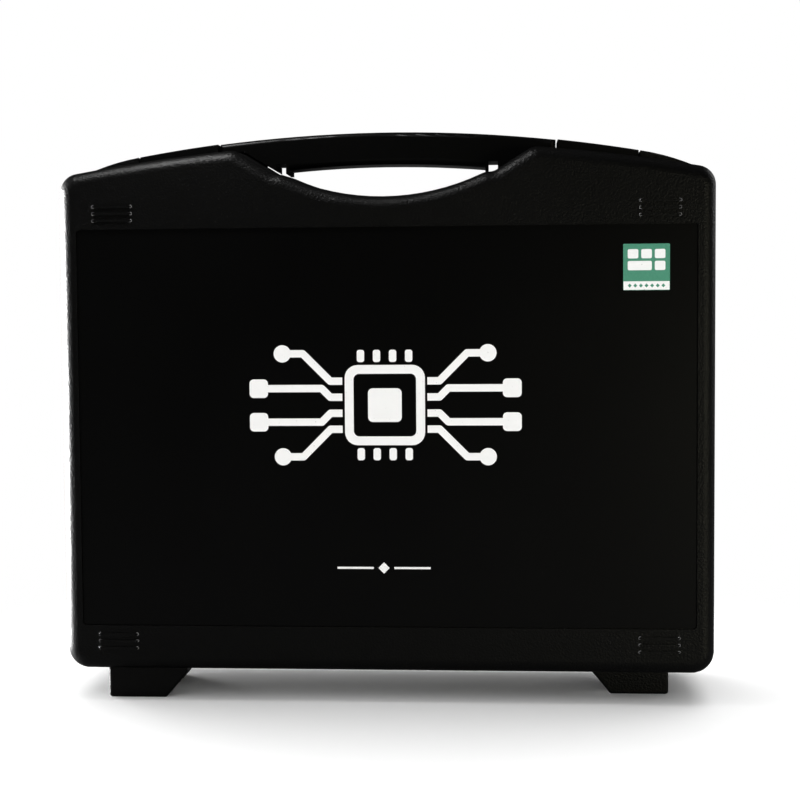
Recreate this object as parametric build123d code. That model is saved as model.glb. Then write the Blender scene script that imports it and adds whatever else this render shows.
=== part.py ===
from build123d import *
import math
import os

# Moulded carrying case, closed and standing on its feet.
# The origin is on the floor under the middle of the case, -Y is the front and +Z is up.
CASE_WIDTH = 412.4
RIM_BOTTOM = 17.0
RIM_CROWN = 352.4
RIM_CROWN_RADIUS = 1100.0
SHELL_DEPTH = 48.0
WALL = 3.0
DRAFT = 3.0
PARTING_GAP = 0.3
BOTTOM_CORNER = 16.0
TOP_CORNER = 14.0
SHOULDER_CORNER = 12.0
LEDGE_CORNER = 6.0
FRONT_EDGE_RADIUS = 8.0
INNER_EDGE_RADIUS = 5.0

# Hollow under the carry handle, seen in the rim's outline.
GRIP_LOW = 318.8
GRIP_RADIUS = 145.0
GRIP_HALF = 62.0
GRIP_LEDGE = 6.0
SHOULDER_X = 92.5

# Sunken front panel between the two bands, and the short ribs on the bands.
PANEL_HALF_WIDTH = 192.7
PANEL_LOW = 47.7
PANEL_HIGH = 297.6
PANEL_STEP = 1.5
PANEL_CORNER = 2.5
PANEL_FIT = 1.0
RIB_LENGTH = 25.0
RIB_PITCH = 4.4
RIB_WIDTH = 1.4
RIB_HEIGHT = 0.8
RIB_CENTRE_X = 169.8
RIB_LOW_Z = 37.8
RIB_HIGH_Z = 307.3

# Raised strip along the top: end ridges, latches and carry handle follow one arc.
STRIP_CROWN = 360.0
STRIP_RADIUS = 930.0
STRIP_HALF_DEPTH = 12.0
RIDGE_INNER = 161.1
RIDGE_OUTER = 195.5
RIDGE_END_RISE = 0.8
RIDGE_ROOT = 2.5
LATCH_INNER = 108.9
LATCH_OUTER = 159.9
HANDLE_HALF = 107.7
HANDLE_UNDER = 339.6
HANDLE_UNDER_RADIUS = 700.0

# Feet and lid hinge.
FOOT_OUTER = 178.5
FOOT_INNER = 141.6
FOOT_FLARE = 14.0
FOOT_FRONT = 41.0
FOOT_BACK = 22.5
SHORT_FOOT_FRONT = 20.0
SHORT_FOOT_BACK = 9.0
FOOT_EDGE_RADIUS = 1.5
HINGE_Z = 8.2
BARREL_RADIUS = 8.2
KNUCKLE_OUTER = 170.0
KNUCKLE_INNER = 152.0
PIN_RADIUS = 2.0
RUNNING_GAP = 0.05
SIDE_GAP = 0.5

# Latches, each a flap on a pin at the back of the strip.
LATCH_PIN_Y = 8.6
LATCH_PIN_RISE = 2.9
LATCH_PIN_RADIUS = 1.0
LATCH_BACK = 11.4
LATCH_SKIN = 1.6
LATCH_TOP = 5.4
BARREL_SKIN = 2.4
LUG_RADIUS = 2.2
LUG_WIDTH = 9.0
LUG_CLEARANCE = 1.2
LATCH_END_WALL = 1.0
SKIRT_GAP = 0.5
BEAD_RADIUS = 0.8
BEAD_LENGTH = 30.0
BEAD_Y = -9.0
BEAD_RISE = -0.85

# Carry handle and its feet.
SEAT_GAP = 0.4
END_RIB_X = 63.0
END_RIB = 2.0
NOTCH_END = 71.0
NOTCH_TOP = 340.5
TOP_EDGE_RADIUS = 3.0
UNDER_EDGE_RADIUS = 4.0
TONGUE_INNER = 80.0
TONGUE_OUTER = 101.0
TONGUE_FRONT = 1.5
TONGUE_BACK = 9.0
TONGUE_LOW = 325.0
TONGUE_SCREW_Z = 330.0
TONGUE_SCREW_STEP = 5.0
SCREW_RADIUS = 1.5
SCREW_HOLE = 1.7
SCREW_BITE = 6.0
HEAD_HEIGHT = 1.8
RECESS_DEPTH = 0.9

# Lip inside the rear rim.
LIP_OUTSIDE = 3.6
LIP_INSIDE = 4.8
LIP_HEIGHT = 3.0

# Deck panel and the posts that carry it.
DECK_FRONT = 8.0
DECK_THICKNESS = 3.0
DECK_BACK = DECK_FRONT + DECK_THICKNESS
THROUGH_DECK = (-5.0, 5.0)
FIT = 0.1
BOSS_RADIUS = 4.5
SUPPLY_X = 120.0
SUPPLY_Z = 75.0
SUPPLY_SCREW_X = 58.0
SUPPLY_BACK = 40.0
SUPPLY_FRONT = 15.0
SUPPLY_FLANGE = 1.6
SUPPLY_HALF_HEIGHT = 28.0
SUPPLY_EAR_HALF = 9.0
SUPPLY_VENTS = 9
SUPPLY_VENT_PITCH = 9.0
SUPPLY_VENT_WIDTH = 3.0
SUPPLY_VENT_HALF = 20.0
SUPPLY_VENT_DEPTH = 1.2
DECK_MARGIN = 8.0
DECK_TOP = 316.0
DECK_SCREW_X = 190.5
DECK_SCREW_LOW = 32.0
DECK_SCREW_MIDDLE = 152.0
DECK_SCREW_HIGH = 304.0

# Module boards on the deck: middle across, middle up, width and height.
BOARDS = {
    "display_board": (-134.0, 266.0, 98.0, 60.0),
    "ultrasonic_board": (-50.0, 286.0, 52.0, 20.0),
    "motion_board": (6.0, 285.0, 37.0, 25.0),
    "humidity_board": (53.0, 285.0, 34.0, 20.0),
    "gas_board": (98.0, 285.0, 34.0, 24.0),
    "light_board": (146.0, 285.0, 36.0, 20.0),
    "led_board": (-28.0, 247.0, 92.0, 16.0),
    "relay_board": (150.0, 236.0, 52.0, 42.0),
}
BOARD_LOW = 5.0
BOARD_TOP = 6.6
STUD_INSET = 3.2
STUD_RADIUS = 1.2
STUD_SPACER = 2.3
STUD_NUT = 2.6
DISPLAY_WIDTH = 76.0
DISPLAY_HEIGHT = 26.5
LED_COUNT = 8
LED_PITCH = 10.0
CAN_RADIUS = 8.0
CAN_SPACING = 26.0
CAN_HEIGHT = 12.0
DOME_RADIUS = 11.0
COLLAR_SIZE = 23.0
COLLAR_HEIGHT = 3.5
GAS_CAP_RADIUS = 8.2
GAS_CAP_HEIGHT = 15.0
GAS_FOOT_RADIUS = 9.5
GAS_FOOT_HEIGHT = 4.5
VENT_PITCH = 3.4
RELAY_LENGTH = 19.0
RELAY_WIDTH = 15.2
RELAY_HEIGHT = 15.6
RELAY_SPACING = 17.2
TERMINALS = 6
TERMINAL_PITCH = 5.08

# Modules that sit straight on the deck.
SEGMENT_X = 64.0
SEGMENT_Z = 247.0
BUZZER_X = 108.0
BUZZER_Z = 247.0
BREAD_X = -96.0
BREAD_Z = 186.0
BREAD_WIDTH = 165.0
BREAD_HEIGHT = 54.0
CONTROLLER_X = 35.0
CONTROLLER_Z = 186.0
CONTROLLER_LOW = 11.0
CONTROLLER_TOP = 12.6
HEADER_TOP = 8.5
HEADER_REACH = 12.7
HEADER_PINS = 20
PIN_PITCH = 2.54
KEY_REACH = 8.5
KEY_Z = 169.5
KEY_RADIUS = 1.7
KEY_BODY_HEIGHT = 3.4
BUTTON_PLACES = (-172.0, -148.0, -124.0, -100.0)
BUTTON_Z = 118.0
BUTTON_SIZE = 12.0
CAP_RADIUS = 5.7
CAP_TOP = 11.0
TOGGLE_PLACES = (-172.0, -148.0)
TOGGLE_Z = 72.0
TOGGLE_BUSH = 3.0
TOGGLE_RISE = 9.0
TOGGLE_PIVOT = 6.0
TOGGLE_LEAN = 12.0
POT_X = -108.0
POT_Z = 72.0
POT_BUSH = 3.6
POT_SHAFT = 2.95
KNOB_RADIUS = 9.0
KNOB_TOP = 20.0
KNOB_SKIRT_RADIUS = 11.5
KNOB_SKIRT_LOW = 7.0
KNOB_SKIRT_TOP = 9.2
KNOB_FLUTES = 18
SWITCH_X = 172.0
SWITCH_Z = 132.0
SWITCH_WIDTH = 15.0
SWITCH_HEIGHT = 21.0
ROCKER_PIVOT = -1.0
ROCKER_LEAN = 8.0
SOCKET_X = 172.0
SOCKET_Z = 165.0
SOCKET_BODY = 5.0
SOCKET_BORE = 3.2
SOCKET_DEPTH = 9.0
SERVO_X = -28.0
SERVO_Z = 84.0
SERVO_SHAFT_X = 5.3
SERVO_SPLINE = 1.9
SERVO_LENGTH = 22.8
SERVO_WIDTH = 12.2
SERVO_EARS = 32.2
HORN_LENGTH = 16.0
HORN_LOW = 26.4
HORN_TOP = 28.2
HORN_HOLES = 5
FAN_X = 112.0
FAN_Z = 178.0
FAN_RADIUS = 21.0
FAN_COUNT = 4

# Foam, printed sheet and sticker of the lid.
FOAM_FRONT = 30.0
FOAM_BACK = 44.3
FOAM_MARGIN = 10.0
LABEL_THICKNESS = 0.35
STICKER_X = 161.5
STICKER_Z = 271.1
STICKER_SIZE = 28.3
STICKER_THICKNESS = 0.2

HALF_WIDTH = CASE_WIDTH / 2
HALF_GAP = PARTING_GAP / 2
FACING = Plane(origin=(0, 0, 0), x_dir=(1, 0, 0), z_dir=(0, -1, 0))
DECK = Plane(origin=(0, DECK_FRONT, 0), x_dir=(1, 0, 0), z_dir=(0, -1, 0))


def facing(depth):
    """Plane that looks to the front, this far in front of the parting plane."""
    return FACING.offset(depth)


def arc_height(x, crown, radius):
    """Height of a crowned arc at a distance x from the middle."""
    return crown - radius + math.sqrt(radius ** 2 - x ** 2)


def crowned_arc(x_from, x_to, crown, radius):
    """Stretch of a crowned arc between two distances from the middle."""
    middle = (x_from + x_to) / 2
    ends = [(x, arc_height(x, crown, radius)) for x in (x_from, middle, x_to)]
    return ThreePointArc(*ends)


def block(x_low, x_high, y_low, y_high, z_low, z_high):
    """Box given by its limits along each axis."""
    size = (x_high - x_low, y_high - y_low, z_high - z_low)
    centre = ((x_low + x_high) / 2, (y_low + y_high) / 2, (z_low + z_high) / 2)
    return Pos(*centre) * Box(*size)


def nearest_vertex(sketch, x, y):
    """Corner of a sketch that lies nearest to a point."""
    return min(sketch.vertices(), key=lambda v: (v.X - x) ** 2 + (v.Y - y) ** 2)


def round_corner(sketch, x, y, radius):
    """Round the corner of a sketch that lies nearest to a point."""
    return fillet(nearest_vertex(sketch, x, y), radius)


def x_rod(radius, x_from, x_to, y, z):
    """Round bar along X."""
    middle = (x_from + x_to) / 2
    return Pos(middle, y, z) * Rot(0, 90, 0) * Cylinder(radius, abs(x_to - x_from))


def y_rod(radius, y_from, y_to, x, z):
    """Round bar along Y."""
    middle = (y_from + y_to) / 2
    return Pos(x, middle, z) * Rot(90, 0, 0) * Cylinder(radius, abs(y_to - y_from))


def rim_outline():
    """Outline of a half shell at the parting plane."""
    crown_end = arc_height(HALF_WIDTH, RIM_CROWN, RIM_CROWN_RADIUS)
    shoulder = (SHOULDER_X, arc_height(SHOULDER_X, RIM_CROWN, RIM_CROWN_RADIUS))
    drop = math.sqrt(GRIP_RADIUS ** 2 - GRIP_HALF ** 2)
    grip_end = (GRIP_HALF, GRIP_LOW + GRIP_RADIUS - drop)
    ledge_end = (GRIP_HALF + GRIP_LEDGE, grip_end[1] + 0.6)
    edges = [
        Line((-HALF_WIDTH, RIM_BOTTOM), (HALF_WIDTH, RIM_BOTTOM)),
        Line((HALF_WIDTH, RIM_BOTTOM), (HALF_WIDTH, crown_end)),
        crowned_arc(HALF_WIDTH, SHOULDER_X, RIM_CROWN, RIM_CROWN_RADIUS),
        Line(shoulder, ledge_end),
        Line(ledge_end, grip_end),
        ThreePointArc(grip_end, (0, GRIP_LOW), (-grip_end[0], grip_end[1])),
        Line((-grip_end[0], grip_end[1]), (-ledge_end[0], ledge_end[1])),
        Line((-ledge_end[0], ledge_end[1]), (-shoulder[0], shoulder[1])),
        crowned_arc(-SHOULDER_X, -HALF_WIDTH, RIM_CROWN, RIM_CROWN_RADIUS),
        Line((-HALF_WIDTH, crown_end), (-HALF_WIDTH, RIM_BOTTOM)),
    ]
    outline = make_face(Curve() + edges)
    for side in (-1, 1):
        outline = round_corner(outline, side * HALF_WIDTH, RIM_BOTTOM, BOTTOM_CORNER)
        outline = round_corner(outline, side * HALF_WIDTH, crown_end, TOP_CORNER)
        outline = round_corner(outline, side * shoulder[0], shoulder[1], SHOULDER_CORNER)
        outline = round_corner(outline, side * ledge_end[0], ledge_end[1], LEDGE_CORNER)
        outline = round_corner(outline, side * grip_end[0], grip_end[1], SHOULDER_CORNER)
    return outline


def shell_wall():
    """Drafted dish with rounded front edges and an even wall."""
    outline = rim_outline()
    outer = extrude(facing(HALF_GAP) * outline, amount=SHELL_DEPTH - HALF_GAP, taper=DRAFT)
    front_edges = outer.faces().sort_by(Axis.Y)[0].edges()
    outer = fillet(front_edges, FRONT_EDGE_RADIUS)
    hollow = extrude(facing(0) * offset(outline, -WALL), amount=SHELL_DEPTH - WALL - 0.5, taper=DRAFT)
    inner_edges = hollow.faces().sort_by(Axis.Y)[0].edges()
    hollow = fillet(inner_edges, INNER_EDGE_RADIUS)
    return outer - hollow


def band_ribs():
    """Four groups of three short ribs, one group near each corner."""
    rib = SlotOverall(RIB_LENGTH, RIB_WIDTH)
    ribs = []
    for x in (-RIB_CENTRE_X, RIB_CENTRE_X):
        for z in (RIB_LOW_Z, RIB_HIGH_Z):
            for step in (-1, 0, 1):
                place = Pos(x, z + step * RIB_PITCH)
                ribs.append(extrude(facing(SHELL_DEPTH - 0.5) * place * rib, amount=0.5 + RIB_HEIGHT))
    return ribs


def panel_recess():
    """Shallow rectangle cut into the front face."""
    height = PANEL_HIGH - PANEL_LOW
    middle = Pos(0, (PANEL_HIGH + PANEL_LOW) / 2)
    sheet = middle * RectangleRounded(2 * PANEL_HALF_WIDTH, height, PANEL_CORNER)
    return extrude(facing(SHELL_DEPTH - PANEL_STEP) * sheet, amount=2 * PANEL_STEP)


def end_ridges():
    """Two ridges that carry the top strip out to the shoulders of the shell."""
    ridges = []
    for side in (-1, 1):
        inner = side * RIDGE_INNER
        outer = side * RIDGE_OUTER
        low_inner = arc_height(inner, RIM_CROWN, RIM_CROWN_RADIUS) - RIDGE_ROOT
        low_outer = arc_height(outer, RIM_CROWN, RIM_CROWN_RADIUS) - RIDGE_ROOT
        top_inner = arc_height(inner, STRIP_CROWN, STRIP_RADIUS)
        top_outer = arc_height(outer, RIM_CROWN, RIM_CROWN_RADIUS) + RIDGE_END_RISE
        middle = (inner + outer) / 2
        bend = arc_height(middle, STRIP_CROWN, STRIP_RADIUS) - RIDGE_END_RISE
        edges = [
            ThreePointArc((inner, top_inner), (middle, bend), (outer, top_outer)),
            Line((outer, top_outer), (outer, low_outer)),
            Line((outer, low_outer), (inner, low_inner)),
            Line((inner, low_inner), (inner, top_inner)),
        ]
        face = make_face(Curve() + edges)
        ridges.append(extrude(facing(HALF_GAP) * face, amount=STRIP_HALF_DEPTH - HALF_GAP))
    return ridges


def foot_outline(side):
    """Outline of a foot with its flared inner end, on the left for -1 and on the right for 1."""
    corners = [
        (side * FOOT_OUTER, 0),
        (side * FOOT_INNER, 0),
        (side * (FOOT_INNER - FOOT_FLARE), RIM_BOTTOM),
        (side * (FOOT_INNER - FOOT_FLARE), RIM_BOTTOM + WALL),
        (side * FOOT_OUTER, RIM_BOTTOM + WALL),
    ]
    outline = make_face(Polyline(*corners, close=True))
    outline = round_corner(outline, side * FOOT_OUTER, 0, 2.0)
    return round_corner(outline, side * FOOT_INNER, 0, 2.0)


def foot(side, front, back):
    """Foot of one shell between two distances from the parting plane, with its front lower edge rounded."""
    block_of_foot = extrude(facing(back) * foot_outline(side), amount=front - back)
    low_edges = [e for e in block_of_foot.edges() if e.center().Z < 0.1 and abs(e.center().Y + front) < 0.1]
    return fillet(low_edges, FOOT_EDGE_RADIUS)


def hinge_barrel(x_low, x_high):
    """Barrel round the hinge axis, with the web that carries it."""
    barrel = x_rod(BARREL_RADIUS, x_low, x_high, 0, HINGE_Z)
    return barrel + block(x_low, x_high, -BARREL_RADIUS, -HALF_GAP, HINGE_Z, RIM_BOTTOM + WALL)


def hinge_and_feet():
    """Long foot with two barrels at one end, short foot with one barrel at the other."""
    pieces = [
        foot(-1, FOOT_FRONT, FOOT_BACK),
        hinge_barrel(-FOOT_OUTER, -KNUCKLE_OUTER - SIDE_GAP),
        hinge_barrel(-KNUCKLE_INNER + SIDE_GAP, -FOOT_INNER),
        foot(1, SHORT_FOOT_FRONT, SHORT_FOOT_BACK),
        hinge_barrel(KNUCKLE_INNER, KNUCKLE_OUTER),
    ]
    return pieces


def gate_mark():
    """Trace of the moulding gate, just above the front panel."""
    return y_rod(1.1, -SHELL_DEPTH - 0.4, -SHELL_DEPTH + 1, 0, PANEL_HIGH + 1.9)


def moulded_shell():
    """The moulding that both halves of the case share."""
    shell = shell_wall() - panel_recess() + gate_mark()
    for piece in band_ribs() + end_ridges() + hinge_and_feet():
        shell = shell + piece
    return shell - x_rod(PIN_RADIUS + RUNNING_GAP, -HALF_WIDTH, HALF_WIDTH, 0, HINGE_Z)


def latch_frame(side):
    """Place on the rim under the middle of one latch, tilted with the crown."""
    x = side * (LATCH_INNER + LATCH_OUTER) / 2
    height = arc_height(x, RIM_CROWN, RIM_CROWN_RADIUS)
    tilt = math.degrees(math.asin(x / RIM_CROWN_RADIUS))
    return Pos(x, 0, height) * Rot(0, tilt, 0)


def latch_lug(side):
    """Ear on the rear shell that carries one latch pin."""
    ear = x_rod(LUG_RADIUS, -LUG_WIDTH / 2, LUG_WIDTH / 2, LATCH_PIN_Y, LATCH_PIN_RISE)
    root = -2.5
    stem = block(-LUG_WIDTH / 2, LUG_WIDTH / 2, LATCH_PIN_Y - LUG_RADIUS, LATCH_PIN_Y + LUG_RADIUS,
                 root, LATCH_PIN_RISE)
    hole = x_rod(LATCH_PIN_RADIUS, -LUG_WIDTH, LUG_WIDTH, LATCH_PIN_Y, LATCH_PIN_RISE)
    return latch_frame(side) * (ear + stem - hole)


def latch_bead(side):
    """Low bead on the front shell that the latch snaps over."""
    return latch_frame(side) * x_rod(BEAD_RADIUS, -BEAD_LENGTH / 2, BEAD_LENGTH / 2, BEAD_Y, BEAD_RISE)


def end_line(x, under):
    """Upright end of a latch, from its lower edge to the top of the strip."""
    low = (x, arc_height(x, under, RIM_CROWN_RADIUS))
    high = (x, arc_height(x, STRIP_CROWN, STRIP_RADIUS))
    return Line(low, high)


def latch(side):
    """Flap that bridges both shells: a top wall, a front skirt, end walls and a barrel on its pin."""
    inner = side * LATCH_INNER
    outer = side * LATCH_OUTER
    under = RIM_CROWN + SKIRT_GAP
    edges = [
        crowned_arc(inner, outer, STRIP_CROWN, STRIP_RADIUS),
        end_line(outer, under),
        crowned_arc(outer, inner, under, RIM_CROWN_RADIUS),
        end_line(inner, under),
    ]
    face = make_face(Curve() + edges)
    body = extrude(facing(-LATCH_BACK) * face, amount=STRIP_HALF_DEPTH + LATCH_BACK)
    frame = latch_frame(side)
    length = LATCH_OUTER - LATCH_INNER
    inside = length / 2 - LATCH_SKIN
    top = LATCH_TOP - LATCH_SKIN
    below = -2 * BARREL_SKIN
    past_back = LATCH_BACK + 5
    hollow = frame * block(-inside, inside, -STRIP_HALF_DEPTH + LATCH_SKIN, LATCH_PIN_Y, below, top)
    behind = frame * block(-length, length, LATCH_PIN_Y, past_back, below, LATCH_PIN_RISE)
    half_slot = LUG_WIDTH / 2 + SIDE_GAP
    slot_front = LATCH_PIN_Y - LUG_RADIUS - LUG_CLEARANCE
    slot = frame * block(-half_slot, half_slot, slot_front, past_back, below, 2 * LATCH_TOP)
    barrel_reach = length / 2 - LATCH_END_WALL
    barrel = frame * x_rod(BARREL_SKIN, -barrel_reach, barrel_reach, LATCH_PIN_Y, LATCH_PIN_RISE)
    bore = frame * x_rod(LATCH_PIN_RADIUS + RUNNING_GAP, -length, length, LATCH_PIN_Y, LATCH_PIN_RISE)
    return body - hollow - behind + barrel - slot - bore


def latch_pin(side):
    """Steel pin of one latch."""
    reach = (LATCH_OUTER - LATCH_INNER) / 2 - 2 * LATCH_END_WALL
    return latch_frame(side) * x_rod(LATCH_PIN_RADIUS, -reach, reach, LATCH_PIN_Y, LATCH_PIN_RISE)


def carry_handle():
    """Arched bar with an end rib beside each side of the grip and a foot that reaches into the rear shell."""
    shoulder = (SHOULDER_X, arc_height(SHOULDER_X, RIM_CROWN, RIM_CROWN_RADIUS) + SEAT_GAP)
    drop = math.sqrt(GRIP_RADIUS ** 2 - GRIP_HALF ** 2)
    ledge_z = GRIP_LOW + GRIP_RADIUS - drop + 1.2 + SEAT_GAP
    ledge_x = GRIP_HALF + GRIP_LEDGE
    under_end = arc_height(END_RIB_X, HANDLE_UNDER, HANDLE_UNDER_RADIUS)
    slope = (shoulder[1] - ledge_z) / (SHOULDER_X - ledge_x)
    notch_z = ledge_z + slope * (NOTCH_END - ledge_x)
    tip_low = arc_height(HANDLE_HALF, RIM_CROWN + SEAT_GAP, RIM_CROWN_RADIUS)
    tip_top = arc_height(HANDLE_HALF, STRIP_CROWN, STRIP_RADIUS)
    right = [
        (END_RIB_X, under_end),
        (END_RIB_X, ledge_z),
        (END_RIB_X + END_RIB, ledge_z),
        (END_RIB_X + END_RIB, NOTCH_TOP),
        (NOTCH_END, NOTCH_TOP),
        (NOTCH_END, notch_z),
        shoulder,
        (HANDLE_HALF, tip_low),
        (HANDLE_HALF, tip_top),
    ]
    left = [(-x, z) for x, z in reversed(right)]
    face = make_face(Curve() + [
        Polyline(*right),
        crowned_arc(HANDLE_HALF, -HANDLE_HALF, STRIP_CROWN, STRIP_RADIUS),
        Polyline(*left),
        crowned_arc(-END_RIB_X, END_RIB_X, HANDLE_UNDER, HANDLE_UNDER_RADIUS),
    ])
    bar = extrude(facing(-STRIP_HALF_DEPTH) * face, amount=2 * STRIP_HALF_DEPTH)
    top = [e for e in bar.edges() if e.center().Z > HANDLE_UNDER + 10 and abs(e.center().Y) > 1]
    bar = fillet(top, TOP_EDGE_RADIUS)
    below = [e for e in bar.edges() if abs(e.center().X) < 1 and e.center().Z < HANDLE_UNDER + 1]
    bar = fillet(below, UNDER_EDGE_RADIUS)
    for side in (-1, 1):
        low, high = sorted((side * TONGUE_INNER, side * TONGUE_OUTER))
        bar = bar + block(low, high, TONGUE_FRONT, TONGUE_BACK, TONGUE_LOW, RIM_CROWN - 2)
        for x in tongue_screw_places(side):
            bar = bar - y_rod(SCREW_HOLE, 0, TONGUE_BACK + 1, x, TONGUE_SCREW_Z)
    return bar


def tongue_screw_places(side):
    """Two screws across each handle foot."""
    middle = side * (TONGUE_INNER + TONGUE_OUTER) / 2
    return (middle - TONGUE_SCREW_STEP, middle + TONGUE_SCREW_STEP)


def handle_screws():
    """Pan head screws that hold the handle's feet to the rear shell."""
    length = TONGUE_BACK - TONGUE_FRONT + SCREW_BITE
    places = tongue_screw_places(-1) + tongue_screw_places(1)
    screws = [pan_screw(SCREW_RADIUS, length, x, TONGUE_SCREW_Z, TONGUE_FRONT) for x in places]
    return Compound(children=screws)


def pan_screw(radius, length, x, z, seat_y):
    """Screw that points to the back, with a cross recess in its head."""
    crown = seat_y - HEAD_HEIGHT
    head = y_rod(2 * radius, crown, seat_y, x, z)
    head = fillet(head.faces().sort_by(Axis.Y)[0].edges(), 0.35 * radius)
    screw = head + y_rod(radius, seat_y, seat_y + length, x, z)
    long_way = 1.2 * radius
    short_way = 0.2 * radius
    for across, up in ((long_way, short_way), (short_way, long_way)):
        screw = screw - block(x - across, x + across, crown - 1, crown + RECESS_DEPTH, z - up, z + up)
    return screw.solids()[0]


def hinge_pin(side):
    """Steel pin through one foot and the knuckle between its barrels."""
    return x_rod(PIN_RADIUS, side * (FOOT_OUTER - 1.5), side * (FOOT_INNER + 2.0), 0, HINGE_Z)


def rim_lip():
    """Thin lip inside the rear rim that reaches into the front shell."""
    outline = rim_outline()
    inside = offset(outline, -LIP_INSIDE)
    root = extrude(facing(-8) * (offset(outline, -WALL + 0.2) - inside), amount=8 - HALF_GAP)
    tip = extrude(facing(-HALF_GAP) * (offset(outline, -LIP_OUTSIDE) - inside), amount=HALF_GAP + LIP_HEIGHT)
    return root + tip


def deck_screw_places():
    """Screws around and across the deck panel."""
    heights = (DECK_SCREW_LOW, DECK_SCREW_MIDDLE, DECK_SCREW_HIGH)
    sides = [(side * DECK_SCREW_X, z) for side in (-1, 1) for z in heights]
    return sides + [(0.0, DECK_SCREW_LOW), (0.0, DECK_SCREW_HIGH)]


def deck_boss(x, z):
    """Moulded post that carries one deck screw."""
    post = y_rod(BOSS_RADIUS, DECK_BACK, SHELL_DEPTH - 2.0, x, z)
    return post - y_rod(SCREW_RADIUS, DECK_BACK - 1, DECK_BACK + 12, x, z)


def front_shell():
    """Lid half of the case."""
    shell = moulded_shell()
    for side in (-1, 1):
        shell = shell + latch_bead(side)
    return shell


def rear_shell():
    """Base half of the case, the same moulding turned round, with the lip, posts and handle sockets."""
    shell = Rot(0, 0, 180) * moulded_shell()
    lip = rim_lip()
    for side in (-1, 1):
        low, high = sorted((side * TONGUE_INNER, side * TONGUE_OUTER))
        shell = shell + latch_lug(side)
        boss = block(low, high, TONGUE_BACK + 0.3, TONGUE_BACK + 9, TONGUE_LOW, RIM_CROWN - 12)
        shell = shell + boss
        socket = block(low - 0.4, high + 0.4, -5, TONGUE_BACK + 0.3, TONGUE_LOW - 2, RIM_CROWN + 5)
        lip = lip - socket
        shell = shell - (socket & block(-200, 200, TONGUE_FRONT - 0.4, 50, 0, 400))
        for x in tongue_screw_places(side):
            shell = shell - y_rod(SCREW_RADIUS, TONGUE_BACK, TONGUE_BACK + 7, x, TONGUE_SCREW_Z)
    shell = shell + lip
    for x, z in deck_screw_places():
        shell = shell + deck_boss(x, z)
    for x in (-SUPPLY_SCREW_X, SUPPLY_SCREW_X):
        post = y_rod(5.0, SUPPLY_BACK, SHELL_DEPTH - 2.0, SUPPLY_X + x, SUPPLY_Z)
        shell = shell + (post - y_rod(SCREW_RADIUS, SUPPLY_BACK - 1, SUPPLY_BACK + 5, SUPPLY_X + x, SUPPLY_Z))
    return shell


def raised(sketch, low, high):
    """Solid on the deck, drawn on its face and raised between two heights."""
    return extrude(DECK.offset(low) * sketch, amount=high - low)


def deck_rod(radius, x, z, low, high):
    """Round post that stands out of the deck."""
    return raised(Pos(x, z) * Circle(radius), low, high)


def deck_box(x, z, width, height, low, high, corner=0.4):
    """Block on the deck with rounded upright edges."""
    return raised(Pos(x, z) * RectangleRounded(width, height, corner), low, high)


def deck_panel():
    """Panel that fills the rear shell and carries every module."""
    outline = offset(rim_outline(), -DECK_MARGIN) & Pos(0, DECK_TOP / 2) * Rectangle(CASE_WIDTH, DECK_TOP)
    panel = raised(outline, -DECK_THICKNESS, 0)
    for x, z in deck_screw_places():
        panel = panel - deck_rod(SCREW_HOLE, x, z, *THROUGH_DECK)
    panel = panel - deck_box(SWITCH_X, SWITCH_Z, SWITCH_WIDTH - 1.6, SWITCH_HEIGHT - 1.6, *THROUGH_DECK)
    panel = panel - deck_rod(SOCKET_BODY + FIT, SOCKET_X, SOCKET_Z, *THROUGH_DECK)
    panel = panel - deck_rod(POT_BUSH + FIT, POT_X, POT_Z, *THROUGH_DECK)
    for x in TOGGLE_PLACES:
        panel = panel - deck_rod(TOGGLE_BUSH + FIT, x, TOGGLE_Z, *THROUGH_DECK)
    return panel


def case_screws():
    """Screws of the deck panel and of the power supply."""
    screws = [pan_screw(SCREW_RADIUS, DECK_THICKNESS + 10, x, z, DECK_FRONT) for x, z in deck_screw_places()]
    for x in (-SUPPLY_SCREW_X, SUPPLY_SCREW_X):
        screws.append(pan_screw(SCREW_RADIUS, 6, SUPPLY_X + x, SUPPLY_Z, SUPPLY_BACK - SUPPLY_FLANGE))
    return Compound(children=screws)


def supply_block(half_width, front, back, half_height):
    """Block centred on the power supply."""
    return block(SUPPLY_X - half_width, SUPPLY_X + half_width, front, back,
                 SUPPLY_Z - half_height, SUPPLY_Z + half_height)


def power_supply():
    """Closed converter box behind the deck, on two ears."""
    body = supply_block(SUPPLY_SCREW_X - 8, SUPPLY_FRONT, SUPPLY_BACK, SUPPLY_HALF_HEIGHT)
    body = fillet(body.edges().filter_by(Axis.Y), 2.0)
    ear = supply_block(SUPPLY_SCREW_X + 6, SUPPLY_BACK - SUPPLY_FLANGE, SUPPLY_BACK, SUPPLY_EAR_HALF)
    supply = body + fillet(ear.edges().filter_by(Axis.Y), 3.0)
    for x in (-SUPPLY_SCREW_X, SUPPLY_SCREW_X):
        supply = supply - y_rod(SCREW_HOLE, 0, SUPPLY_BACK + 1, SUPPLY_X + x, SUPPLY_Z)
    for step in range(SUPPLY_VENTS):
        x = (step - (SUPPLY_VENTS - 1) / 2) * SUPPLY_VENT_PITCH
        slot = supply_block(SUPPLY_VENT_WIDTH / 2, SUPPLY_FRONT - 1, SUPPLY_FRONT + SUPPLY_VENT_DEPTH,
                            SUPPLY_VENT_HALF)
        supply = supply - Pos(x, 0, 0) * slot
    return supply


def stud_places(x, z, width, height):
    """Four corners of a module board."""
    across = width / 2 - STUD_INSET
    up = height / 2 - STUD_INSET
    return [(x + i * across, z + j * up) for i in (-1, 1) for j in (-1, 1)]


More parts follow.
